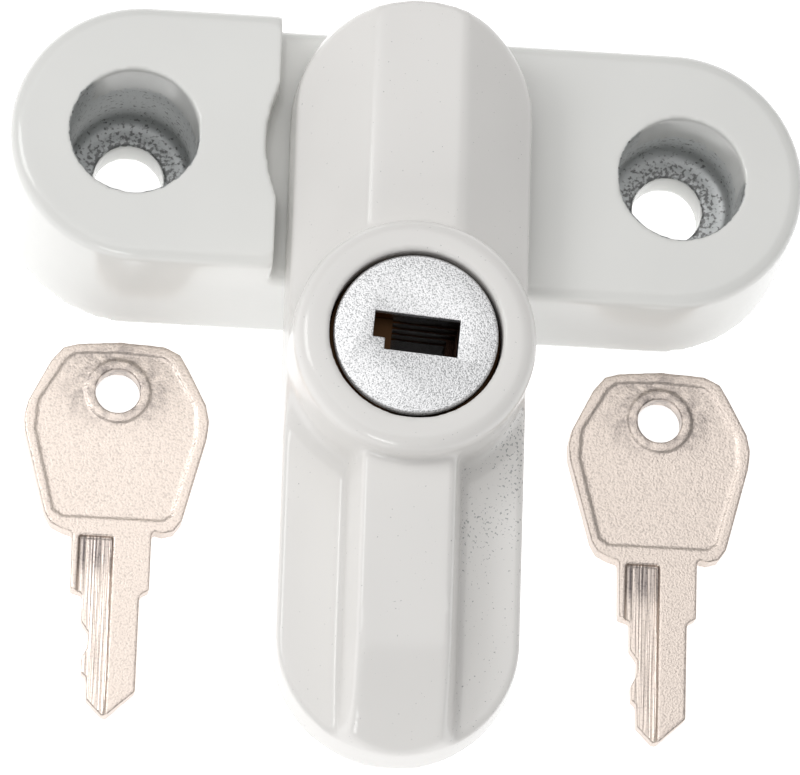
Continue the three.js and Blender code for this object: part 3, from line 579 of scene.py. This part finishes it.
# The ridge's end face is drawn out in short steps, each lower, so its top comes down in an arc.
end = -LONG_END - EAVE_RADIUS
drop_angle = math.acos(1 - (roof_rise - RIDGE_END) / RIDGE_END_RADIUS)
drop_length = RIDGE_END_RADIUS * math.sin(drop_angle)
ridge = box(-RIDGE_FOOT, RIDGE_FOOT, end + drop_length, LOCK_Y + 2, EAVE - RIDGE_SUNK, CREST)
select_top(ridge)
bpy.ops.transform.resize(value=(RIDGE_CREST / RIDGE_FOOT, 1, 1))
bpy.ops.mesh.select_all(action="DESELECT")
end_mesh = bmesh.from_edit_mesh(ridge.data)
for face in end_mesh.faces:
    face.select_set(face.normal.y < -0.9)
bmesh.update_edit_mesh(ridge.data)
height = roof_rise
for step in range(1, END_STEPS + 1):
    run = drop_length * step / END_STEPS
    lower = roof_rise - RIDGE_END_RADIUS + math.sqrt(RIDGE_END_RADIUS ** 2 - run ** 2)
    bpy.ops.mesh.extrude_region_move(
        TRANSFORM_OT_translate={"value": (0, -drop_length / END_STEPS * MM, 0)}
    )
    bpy.ops.transform.resize(value=(1, 1, lower / height), center_override=(0, 0, EAVE * MM))
    height = lower
bpy.ops.object.mode_set(mode="OBJECT")
combine(ridge, arm_blank(), "INTERSECT")
combine(arm, ridge, "UNION")


def on_roof_crest(place):
    """Whether a point lies on one of the two crest edges of the roof over the short end."""
    at_height = abs(place.z - CREST * MM) < 0.02 * MM
    at_side = abs(abs(place.x) - RIDGE_CREST * MM) < 0.02 * MM
    return at_height and at_side and place.y > (LOCK_Y - 1) * MM


select_edges(arm, on_roof_crest)
bpy.ops.mesh.bevel(offset=CREST_ROUND * MM, segments=4)
bpy.ops.object.mode_set(mode="OBJECT")

# A hollow fillet leads up from the deck to the boss.
flare = cylinder(BOSS_RADIUS + FLARE, EAVE - 1, EAVE + FLARE, 0, LOCK_Y, sides=128)
bpy.ops.mesh.primitive_torus_add(
    major_segments=128,
    minor_segments=48,
    major_radius=(BOSS_RADIUS + FLARE) * MM,
    minor_radius=FLARE * MM,
    location=(0, LOCK_Y * MM, (EAVE + FLARE) * MM),
)
bpy.ops.object.transform_apply(location=True, rotation=True, scale=True)
combine(flare, bpy.context.object)
combine(flare, arm_blank(), "INTERSECT")
combine(arm, flare, "UNION")
boss = cylinder(BOSS_RADIUS, EAVE - 2, BOSS_TOP, 0, LOCK_Y, sides=128)
round_rim(boss, BOSS_TOP, BOSS_ROUND)
combine(arm, boss, "UNION")
combine(arm, cylinder(BORE_RADIUS, ARM_BOTTOM - 1, BOSS_TOP + 1, 0, LOCK_Y, sides=96))
cast_surface(arm, ARM_GRAIN, ARM_PASSES)

# The underside is hollow: room for the post, the bolt, the cylinder's flange and the screws.
WALL = 2.0
CHAMBER_TOP = 18.35
SHOULDER = 16.5
LOW = ARM_BOTTOM - 1
CHAMBER_FRONT, CHAMBER_BACK = -11.8, -30.3
PIVOT_BACK = -8.2
RIB_HALF, RIB_FRONT, RIB_BACK = 2.55, -32.3, -49.9
PAD_Y = -48.5
REAR_SCREW_Y = -37.0
FRONT_SCREW_Y = 8.7
FRONT_POST, FRONT_POST_LOW = 2.5, 15.7
REAR_POST = 2.8
SCREW_HOLE, SCREW_HOLE_TOP = 1.3, 19.7
GUIDE_HALF, TONGUE_HALF = 4.1, 2.4
GUIDE_FRONT, TONGUE_FRONT, GUIDE_BACK = -8.9, -7.0, -12.8
FLANGE_RADIUS, FLANGE_TOP = 8.9, 19.35
floor_hollow = bisect(arm_blank(WALL, LOW), (0, 0, SHOULDER), (0, 0, 1))
bolt_hollow = bisect(arm_blank(WALL, LOW), (0, 0, CHAMBER_TOP), (0, 0, 1))
bisect(bolt_hollow, (0, CHAMBER_FRONT, 0), (0, 1, 0))
bisect(bolt_hollow, (0, CHAMBER_BACK, 0), (0, -1, 0))
pivot_hollow = bisect(arm_blank(WALL, LOW), (0, PIVOT_BACK, 0), (0, -1, 0))
bisect(pivot_hollow, (0, 0, CREST - WALL), (0, 0, 1))
roof_wall = WALL * math.hypot(1, roof_rise / roof_run)
for side in (-1, 1):
    inner_crest = (side * RIDGE_CREST, 0, CREST - roof_wall)
    bisect(pivot_hollow, inner_crest, (side * roof_rise, 0, roof_run))
combine(pivot_hollow, cylinder(FRONT_POST, FRONT_POST_LOW, CREST, 0, FRONT_SCREW_Y, sides=32))
ridge_hollow = box(-RIB_HALF, RIB_HALF, RIB_BACK, RIB_FRONT, LOW, CREST - WALL)
for y in (REAR_SCREW_Y, PAD_Y):
    combine(ridge_hollow, cylinder(REAR_POST, LOW - 1, CREST, 0, y, sides=32))
cut_mesh(arm, [
    floor_hollow,
    bolt_hollow,
    pivot_hollow,
    ridge_hollow,
    box(-TONGUE_HALF, TONGUE_HALF, GUIDE_BACK, TONGUE_FRONT, LOW, CHAMBER_TOP),
    box(-GUIDE_HALF, GUIDE_HALF, GUIDE_BACK, GUIDE_FRONT, LOW, CHAMBER_TOP),
    cylinder(FLANGE_RADIUS, LOW, FLANGE_TOP, 0, LOCK_Y, sides=64),
    *(
        cylinder(SCREW_HOLE, LOW, SCREW_HOLE_TOP, 0, y, sides=24)
        for y in (FRONT_SCREW_Y, REAR_SCREW_Y, PAD_Y)
    ),
])


def arm_coat():
    """The arm's coat, with a patch of dark pinholes in the wing beside the ridge, where gas from
    the casting's pores came up through the paint."""
    material, tree = new_material("white_powder_coat_pinholed")
    place, coat = coat_nodes(tree, "EAE8E5")
    axes = add_node(tree, "ShaderNodeSeparateXYZ", {"Vector": place}).outputs
    pores = add_node(tree, "ShaderNodeTexNoise", {"Vector": place, "Scale": 4000.0, "Detail": 2.0})
    patch = add_node(tree, "ShaderNodeTexNoise", {"Vector": place, "Scale": 180.0, "Detail": 1.0})
    wing = add_node(
        tree,
        "ShaderNodeMapRange",
        {"Value": axes["X"], "From Min": 4.4 * MM, "From Max": 5.2 * MM},
    ).outputs["Result"]
    behind = add_node(
        tree,
        "ShaderNodeMapRange",
        {
            "Value": axes["Y"],
            "From Min": (LOCK_Y - 23) * MM,
            "From Max": (LOCK_Y - 14) * MM,
            "To Min": 0.08,
            "To Max": 0.22,
        },
    ).outputs["Result"]
    long_end = add_node(
        tree, "ShaderNodeMath", {0: axes["Y"], 1: (LOCK_Y - 4) * MM}, operation="LESS_THAN"
    ).outputs[0]
    behind = add_node(
        tree, "ShaderNodeMath", {0: behind, 1: long_end}, operation="MULTIPLY"
    ).outputs[0]
    low = add_node(
        tree, "ShaderNodeMath", {0: axes["Z"], 1: (EAVE + 1.4) * MM}, operation="LESS_THAN"
    ).outputs[0]
    on_wing = add_node(tree, "ShaderNodeMath", {0: wing, 1: low}, operation="MULTIPLY").outputs[0]
    share = add_node(
        tree, "ShaderNodeMath", {0: on_wing, 1: behind}, operation="MULTIPLY"
    ).outputs[0]
    share = add_node(
        tree, "ShaderNodeMath", {0: share, 1: patch.outputs["Fac"]}, operation="MULTIPLY"
    ).outputs[0]
    limit = add_node(tree, "ShaderNodeMath", {0: 0.75, 1: share}, operation="SUBTRACT").outputs[0]
    pits = add_node(
        tree, "ShaderNodeMath", {0: pores.outputs["Fac"], 1: limit}, operation="GREATER_THAN"
    ).outputs[0]
    paint = coat.inputs["Base Color"].links[0].from_socket
    dark = add_node(
        tree,
        "ShaderNodeMix",
        {"Factor": pits, "A": paint, "B": linear("AEAEAD")},
        data_type="RGBA",
    )
    tree.links.new(dark.outputs["Result"], coat.inputs["Base Color"])
    add_node(tree, "ShaderNodeOutputMaterial", {"Surface": coat.outputs["BSDF"]})
    return material


arm.data.materials.clear()
arm.data.materials.append(arm_coat())
finish_piece(arm, "arm_casting", "arm", "white_enamel", "arm_shell")


# ---------------------------------------------------------------------------------------------
# Keys. Blanked from steel strip, coined with a raised rim round the bow and the hole, milled
# with a groove and cuts along the blade, then tumbled and nickel plated.
# ---------------------------------------------------------------------------------------------
def plate(points, low, high):
    """A flat plate from an outline, drawn up from a filled ring of points."""
    bpy.ops.mesh.primitive_circle_add(vertices=len(points), radius=MM, fill_type="NGON")
    sheet = bpy.context.object
    for vertex, (x, y) in zip(sheet.data.vertices, points):
        vertex.co = (x * MM, y * MM, low * MM)
    open_mesh(sheet, "FACE")
    bpy.ops.mesh.select_all(action="SELECT")
    bpy.ops.mesh.extrude_region_move(TRANSFORM_OT_translate={"value": (0, 0, (high - low) * MM)})
    bpy.ops.mesh.select_all(action="SELECT")
    bpy.ops.mesh.normals_make_consistent(inside=False)
    bpy.ops.object.mode_set(mode="OBJECT")
    return sheet


KEY_THICKNESS = 2.0
KEY_OUTLINE = [
    (-3.86, 4.35), (0.0, 4.7), (4.1, 4.5), (5.6, 3.8), (6.5, 2.3), (8.2, -0.9), (8.55, -2.5),
    (8.4, -4.1), (6.4, -12.1), (5.7, -13.1), (4.7, -13.4), (3.9, -13.2), (3.7, -13.6),
    (3.7, -18.8), (3.0, -19.2), (2.85, -19.6), (2.85, -28.3), (0.3, -30.65), (-0.15, -30.6),
    (-1.6, -29.1), (-1.7, -27.0), (-2.15, -26.7), (-2.2, -25.3), (-1.7, -24.3), (-1.65, -22.9),
    (-2.35, -21.9), (-2.4, -19.3), (-3.5, -19.0), (-3.6, -13.7), (-4.6, -13.4), (-5.6, -12.9),
    (-6.2, -11.9), (-8.4, -4.1), (-8.5, -2.7), (-8.2, -1.3), (-6.3, 2.6), (-5.2, 3.95),
]
BOW_FIELD = [
    (0.0, 3.75), (4.0, 3.55), (4.9, 2.9), (7.35, -1.3), (7.5, -3.9), (5.5, -11.6), (4.7, -12.2),
    (-4.6, -12.2), (-5.5, -11.6), (-7.5, -3.9), (-7.35, -1.3), (-4.9, 2.9), (-4.0, 3.55),
]
HOLE = 2.07
COLLAR = 2.95
COIN_DEPTH = 0.14
BLADE_START, BLADE_END = -13.9, -32
GROOVE_DEPTH, GROOVE_LEFT, GROOVE_RIGHT = 0.55, -2.95, 0.2
BACK_GROOVE_DEPTH, BACK_GROOVE_LEFT, BACK_GROOVE_RIGHT = 0.385, 1.2, 4.0
KEY_GRAIN, KEY_PASSES = 0.13, 3


def key_blank():
    """One key at the origin: the hole's centre is its zero point, the tip is towards -Y."""
    key = plate(KEY_OUTLINE[::-1], 0.0, KEY_THICKNESS)
    for low, high in ((KEY_THICKNESS - COIN_DEPTH, KEY_THICKNESS + 1), (-1, COIN_DEPTH)):
        field = plate(BOW_FIELD, low, high)
        combine(field, cylinder(COLLAR, low - 1, high + 1, sides=64))
        combine(key, field)
    combine(key, cylinder(HOLE, -1, KEY_THICKNESS + 1, sides=64))
    groove_floor = KEY_THICKNESS - GROOVE_DEPTH
    groove = box(GROOVE_LEFT, GROOVE_RIGHT, BLADE_END, BLADE_START, groove_floor, KEY_THICKNESS + 1)
    combine(key, groove)
    combine(key, box(
        BACK_GROOVE_LEFT, BACK_GROOVE_RIGHT, BLADE_END, BLADE_START, -1, BACK_GROOVE_DEPTH
    ))
    return cast_surface(key, KEY_GRAIN, KEY_PASSES)


def nickel_plate(x, y):
    """Bright nickel over tumbled steel, a little pink. The tumbling leaves a fine pebbled
    grain some 0.2 mm wide, and the cutter leaves lines along the groove."""
    material, tree = new_material(f"tumbled_nickel_plate_{'left' if x < 0 else 'right'}")
    place = add_node(tree, "ShaderNodeTexCoord").outputs["Object"]
    local = add_node(
        tree, "ShaderNodeMapping", {"Vector": place, "Location": (-x * MM, -y * MM, 0.0)}
    ).outputs["Vector"]
    axes = add_node(tree, "ShaderNodeSeparateXYZ", {"Vector": local}).outputs
    pebble = add_node(
        tree, "ShaderNodeTexNoise", {"Vector": local, "Scale": 5000.0, "Detail": 3.0}
    ).outputs["Fac"]
    along = add_node(
        tree, "ShaderNodeMapping", {"Vector": local, "Scale": (3500.0, 70.0, 1.0)}
    ).outputs["Vector"]
    drag = add_node(
        tree, "ShaderNodeTexNoise", {"Vector": along, "Scale": 1.0, "Detail": 2.0}
    ).outputs["Fac"]
    drag = add_node(
        tree, "ShaderNodeMapRange", {"Value": drag, "From Min": 0.35, "From Max": 0.65}
    ).outputs["Result"]
    in_x = add_node(
        tree, "ShaderNodeMath", {0: axes["X"], 1: -1.35 * MM, 2: 1.6 * MM}, operation="COMPARE"
    ).outputs[0]
    on_blade = add_node(
        tree,
        "ShaderNodeMapRange",
        {
            "Value": axes["Y"],
            "From Min": (BLADE_START - 0.3) * MM,
            "From Max": (BLADE_START + 0.1) * MM,
            "To Min": 1.0,
            "To Max": 0.0,
        },
    ).outputs["Result"]
    sunk = add_node(
        tree, "ShaderNodeMath", {0: axes["Z"], 1: (KEY_THICKNESS - 0.3) * MM}, operation="LESS_THAN"
    ).outputs[0]
    groove = add_node(
        tree, "ShaderNodeMath", {0: in_x, 1: on_blade}, operation="MULTIPLY"
    ).outputs[0]
    groove = add_node(tree, "ShaderNodeMath", {0: groove, 1: sunk}, operation="MULTIPLY").outputs[0]
    grain = add_node(
        tree, "ShaderNodeMix", {"Factor": groove, "A": pebble, "B": drag}, data_type="FLOAT"
    ).outputs["Result"]
    bump = add_node(
        tree, "ShaderNodeBump", {"Strength": 0.9, "Distance": 0.00006, "Height": grain}
    ).outputs["Normal"]

    from_hole = add_node(
        tree, "ShaderNodeVectorMath", {0: local}, operation="LENGTH"
    ).outputs["Value"]
    near = add_node(
        tree,
        "ShaderNodeMapRange",
        {
            "Value": from_hole,
            "From Min": 2.6 * MM,
            "From Max": 7.2 * MM,
            "To Min": 1.0,
            "To Max": 0.0,
        },
        interpolation_type="SMOOTHSTEP",
    ).outputs["Result"]
    upper = add_node(
        tree,
        "ShaderNodeMapRange",
        {"Value": axes["Y"], "From Min": -4.8 * MM, "From Max": -0.6 * MM},
        interpolation_type="SMOOTHSTEP",
    ).outputs["Result"]
    cloud = add_node(
        tree, "ShaderNodeTexNoise", {"Vector": local, "Scale": 1100.0, "Detail": 5.0}
    ).outputs["Fac"]
    cloud = add_node(
        tree, "ShaderNodeMapRange", {"Value": cloud, "From Min": 0.35, "From Max": 0.70}
    ).outputs["Result"]
    stain = add_node(tree, "ShaderNodeMath", {0: near, 1: upper}, operation="MULTIPLY").outputs[0]
    stain = add_node(tree, "ShaderNodeMath", {0: stain, 1: cloud}, operation="MULTIPLY").outputs[0]
    # Painted shade: the groove's end next to the bow is darkened, where shade falls into it. The
    # stain round the hole and the specks are the plate's own marks.
    step = add_node(
        tree,
        "ShaderNodeMapRange",
        {"Value": axes["Y"], "From Min": -18.4 * MM, "From Max": -15.6 * MM},
        interpolation_type="SMOOTHSTEP",
    ).outputs["Result"]
    shadow = add_node(tree, "ShaderNodeMath", {0: groove, 1: step}, operation="MULTIPLY").outputs[0]
    shadow = add_node(tree, "ShaderNodeMath", {0: shadow, 1: drag}, operation="MULTIPLY").outputs[0]
    marks_and_shade_mix = add_node(
        tree, "ShaderNodeMath", {0: stain, 1: 0.75, 2: shadow}, operation="MULTIPLY_ADD"
    ).outputs[0]
    specks = add_node(
        tree,
        "ShaderNodeMapRange",
        {"Value": pebble, "From Min": 0.30, "From Max": 0.50, "To Min": 0.3, "To Max": 0.0},
    ).outputs["Result"]
    stain_specks_and_shade = add_node(
        tree, "ShaderNodeMath", {0: marks_and_shade_mix, 1: specks}, operation="ADD", use_clamp=True
    ).outputs[0]
    tint = add_node(
        tree,
        "ShaderNodeMix",
        {"Factor": stain_specks_and_shade, "A": linear("E2D5CB"), "B": linear("6F6868")},
        data_type="RGBA",
    )
    metal = add_node(
        tree,
        "ShaderNodeBsdfPrincipled",
        {"Base Color": tint.outputs["Result"], "Roughness": 0.32, "Metallic": 1.0, "Normal": bump},
    )
    add_node(tree, "ShaderNodeOutputMaterial", {"Surface": metal.outputs["BSDF"]})
    return material


KEY_X = 25.25
KEY_Y = -19.9
pattern_key = key_blank()
for number, x in ((1, -KEY_X), (2, KEY_X)):
    key = pattern_key.copy()
    key.data = pattern_key.data.copy()
    bpy.context.scene.collection.objects.link(key)
    key.data.transform(Matrix.Translation((x * MM, KEY_Y * MM, 0)))
    key.data.materials.clear()
    key.data.materials.append(nickel_plate(x, KEY_Y))
    finish_piece(key, f"coined_key_{number}", f"key_{number}", "nickel", f"key_{number}")
bpy.data.objects.remove(pattern_key)


# ---------------------------------------------------------------------------------------------
# Plug. Turned from brass bar, its face bead-blasted and satin chromed; behind the thin plated
# face the keyway shows the bare brass, painted dark brown as shade, and the wafers, painted
# near black as shade.
# ---------------------------------------------------------------------------------------------
def sharp_copy(node, name, edge):
    """A CAD piece as one merged mesh, its corners broken by a small chamfer."""
    source = frame["nodes"][node]
    copy = source.copy()
    copy.data = source.data.copy()
    bpy.context.scene.collection.objects.link(copy)
    open_mesh(copy, "FACE")
    bpy.ops.mesh.select_all(action="SELECT")
    bpy.ops.mesh.remove_doubles(threshold=0.001 * MM)
    bpy.ops.mesh.dissolve_limited(angle_limit=math.radians(0.5))
    bpy.ops.object.mode_set(mode="OBJECT")
    chamfer = copy.modifiers.new("chamfer", "BEVEL")
    chamfer.width = edge * MM
    chamfer.segments = 2
    chamfer.limit_method = "ANGLE"
    chamfer.angle_limit = math.radians(40)
    bpy.ops.object.modifier_apply(modifier=chamfer.name)
    bpy.ops.object.shade_smooth_by_angle(angle=math.radians(35))
    copy.name = name
    copy.data.materials.clear()
    return copy


def blasted_chrome():
    """Satin chrome over bead-blasted brass: an even sparkle of craters, drawn some 0.15 mm wide
    so that they show. Inside the keyway the raw brass is painted dark brown as shade, and the
    brass shows bare in patches, most towards the left."""
    material, tree = new_material("bead_blasted_satin_chrome")
    place = add_node(tree, "ShaderNodeTexCoord").outputs["Object"]
    axes = add_node(tree, "ShaderNodeSeparateXYZ", {"Vector": place}).outputs
    crater = add_node(
        tree, "ShaderNodeTexNoise", {"Vector": place, "Scale": 7000.0, "Detail": 1.5}
    ).outputs["Fac"]
    bump = add_node(
        tree, "ShaderNodeBump", {"Strength": 1.0, "Distance": 0.00005, "Height": crater}
    ).outputs["Normal"]
    bright = add_node(
        tree, "ShaderNodeMapRange", {"Value": crater, "From Min": 0.34, "From Max": 0.52}
    ).outputs["Result"]
    face = add_node(
        tree,
        "ShaderNodeMix",
        {"Factor": bright, "A": linear("B0B1B2"), "B": linear("ECECED")},
        data_type="RGBA",
    ).outputs["Result"]
    # Painted shade: below the face, inside the keyway, the brass is painted dark brown, and the
    # bare brass shows in patches towards the left.
    deep = add_node(
        tree, "ShaderNodeMath", {0: axes["Z"], 1: (BOSS_TOP - 1.15) * MM}, operation="LESS_THAN"
    ).outputs[0]
    left = add_node(
        tree,
        "ShaderNodeMapRange",
        {
            "Value": axes["X"],
            "From Min": -3.4 * MM,
            "From Max": -0.6 * MM,
            "To Min": 1.0,
            "To Max": 0.0,
        },
        interpolation_type="SMOOTHSTEP",
    ).outputs["Result"]
    brass_patches = add_node(
        tree, "ShaderNodeTexNoise", {"Vector": place, "Scale": 1500.0, "Detail": 3.0}
    ).outputs["Fac"]
    marks_and_shade_mix = add_node(tree, "ShaderNodeMath", {0: left, 1: brass_patches}, operation="MULTIPLY").outputs[0]
    inside = add_node(
        tree,
        "ShaderNodeMix",
        {"Factor": marks_and_shade_mix, "A": linear("2E201A"), "B": linear("B8742F")},
        data_type="RGBA",
    ).outputs["Result"]
    tint = add_node(
        tree, "ShaderNodeMix", {"Factor": deep, "A": face, "B": inside}, data_type="RGBA"
    ).outputs["Result"]
    metal = add_node(
        tree,
        "ShaderNodeBsdfPrincipled",
        {"Base Color": tint, "Roughness": 0.42, "Metallic": 1.0, "Normal": bump},
    )
    add_node(tree, "ShaderNodeOutputMaterial", {"Surface": metal.outputs["BSDF"]})
    return material


plug = sharp_copy("plug", "blasted_plug", 0.08)
plug.data.materials.append(blasted_chrome())
finish_piece(plug, "blasted_plug", "plug", "satin_chrome", "plug")


# ---------------------------------------------------------------------------------------------
# Hardware in and under the arm: pressed and turned steel with bright zinc plate, dark spring
# steel, brass wafers and housing painted near black as shade, and moulded nylon washer and
# pad.
# ---------------------------------------------------------------------------------------------
def worked_metal(name, colour, dark, roughness, scale, depth):
    """A metal whose rolling or turning lines are drawn some tenths of a millimetre apart, with
    cloudy tarnish between them."""
    material, tree = new_material(name)
    place = add_node(tree, "ShaderNodeTexCoord").outputs["Object"]
    lines = add_node(tree, "ShaderNodeMapping", {"Vector": place, "Scale": scale}).outputs["Vector"]
    rolled = add_node(
        tree, "ShaderNodeTexNoise", {"Vector": lines, "Scale": 1.0, "Detail": 3.0}
    ).outputs["Fac"]
    cloud = add_node(
        tree, "ShaderNodeTexNoise", {"Vector": place, "Scale": 260.0, "Detail": 4.0}
    ).outputs["Fac"]
    bump = add_node(
        tree, "ShaderNodeBump", {"Strength": 0.5, "Distance": depth, "Height": rolled}
    ).outputs["Normal"]
    tint = add_node(
        tree,
        "ShaderNodeMix",
        {"Factor": cloud, "A": linear(colour), "B": linear(dark)},
        data_type="RGBA",
    ).outputs["Result"]
    polish = add_node(
        tree, "ShaderNodeMath", {0: cloud, 1: 0.2, 2: roughness - 0.1}, operation="MULTIPLY_ADD"
    ).outputs[0]
    metal = add_node(
        tree,
        "ShaderNodeBsdfPrincipled",
        {"Base Color": tint, "Roughness": polish, "Metallic": 1.0, "Normal": bump},
    )
    add_node(tree, "ShaderNodeOutputMaterial", {"Surface": metal.outputs["BSDF"]})
    return material


def moulded_nylon():
    """Natural nylon: off-white, waxy and a little translucent, with a fine eroded mould grain."""
    material, tree = new_material("moulded_natural_nylon")
    place = add_node(tree, "ShaderNodeTexCoord").outputs["Object"]
    grain = add_node(
        tree, "ShaderNodeTexNoise", {"Vector": place, "Scale": 2500.0, "Detail": 3.0}
    ).outputs["Fac"]
    bump = add_node(
        tree, "ShaderNodeBump", {"Strength": 0.3, "Distance": 0.00003, "Height": grain}
    ).outputs["Normal"]
    tint = add_node(
        tree,
        "ShaderNodeMix",
        {"Factor": grain, "A": linear("E6E2D6"), "B": linear("D6D1C2")},
        data_type="RGBA",
    ).outputs["Result"]
    plastic = add_node(
        tree,
        "ShaderNodeBsdfPrincipled",
        {
            "Base Color": tint,
            "Roughness": 0.45,
            "IOR": 1.53,
            "Subsurface Weight": 0.15,
            "Subsurface Scale": 0.001,
            "Normal": bump,
        },
    )
    add_node(tree, "ShaderNodeOutputMaterial", {"Surface": plastic.outputs["BSDF"]})
    return material


ROLLED, DRAWN, TURNED = (300.0, 4000.0, 300.0), (2500.0, 2500.0, 300.0), (300.0, 300.0, 5000.0)
finishes = {
    "zinc_steel": worked_metal(
        "rolled_zinc_plated_steel", "C9CBCC", "8F9395", 0.38, ROLLED, 0.00003
    ),
    "spring_steel": worked_metal(
        "oil_blued_spring_steel", "6A6C70", "3E4044", 0.35, DRAWN, 0.00002
    ),
    "brass": worked_metal("turned_brass", "C79A52", "8A6330", 0.34, TURNED, 0.00003),
    "nylon": moulded_nylon(),
}
# Painted shade: the barrel housing and the wafers, deep inside the boss and the keyway, are brass
# painted near black, so that the gap round the plug and the keyway's depths look shaded.
shade_darkened_brass = worked_metal("shade_darkened_brass", "4A3420", "2A1D14", 0.45, TURNED, 0.00003)
SHADE_DARKENED_PARTS = ("barrel_housing", "wafer_1", "wafer_2", "wafer_3", "wafer_4")
bodies = {}
for body, nodes in frame["record"]["behaviour"]["bodies"].items():
    bodies.update(dict.fromkeys(nodes, body))
slots = {part["node"]: part["material_slot"] for part in frame["record"]["subparts"]}
CHAMFERED = {
    "pivot_post": 0.2,
    "arm_plate": 0.12,
    "plate_screw_1": 0.06,
    "plate_screw_2": 0.06,
    "pad_screw": 0.08,
    "sash_pad": 0.3,
    "lock_ring": 0.1,
    "lock_bolt": 0.1,
    "cam": 0.1,
    "barrel_housing": 0.08,
    "thrust_washer": 0.08,
}
for node, edge in CHAMFERED.items():
    finished = sharp_copy(node, f"finished_{node}", edge)
    finished.data.materials.append(shade_darkened_brass if node in SHADE_DARKENED_PARTS else finishes[slots[node]])
    finish_piece(finished, f"finished_{node}", bodies[node], slots[node], node)
for name, node in frame["nodes"].items():
    if slots[name] in finishes and name not in CHAMFERED:
        node.data.materials.clear()
        node.data.materials.append(shade_darkened_brass if name in SHADE_DARKENED_PARTS else finishes[slots[name]])
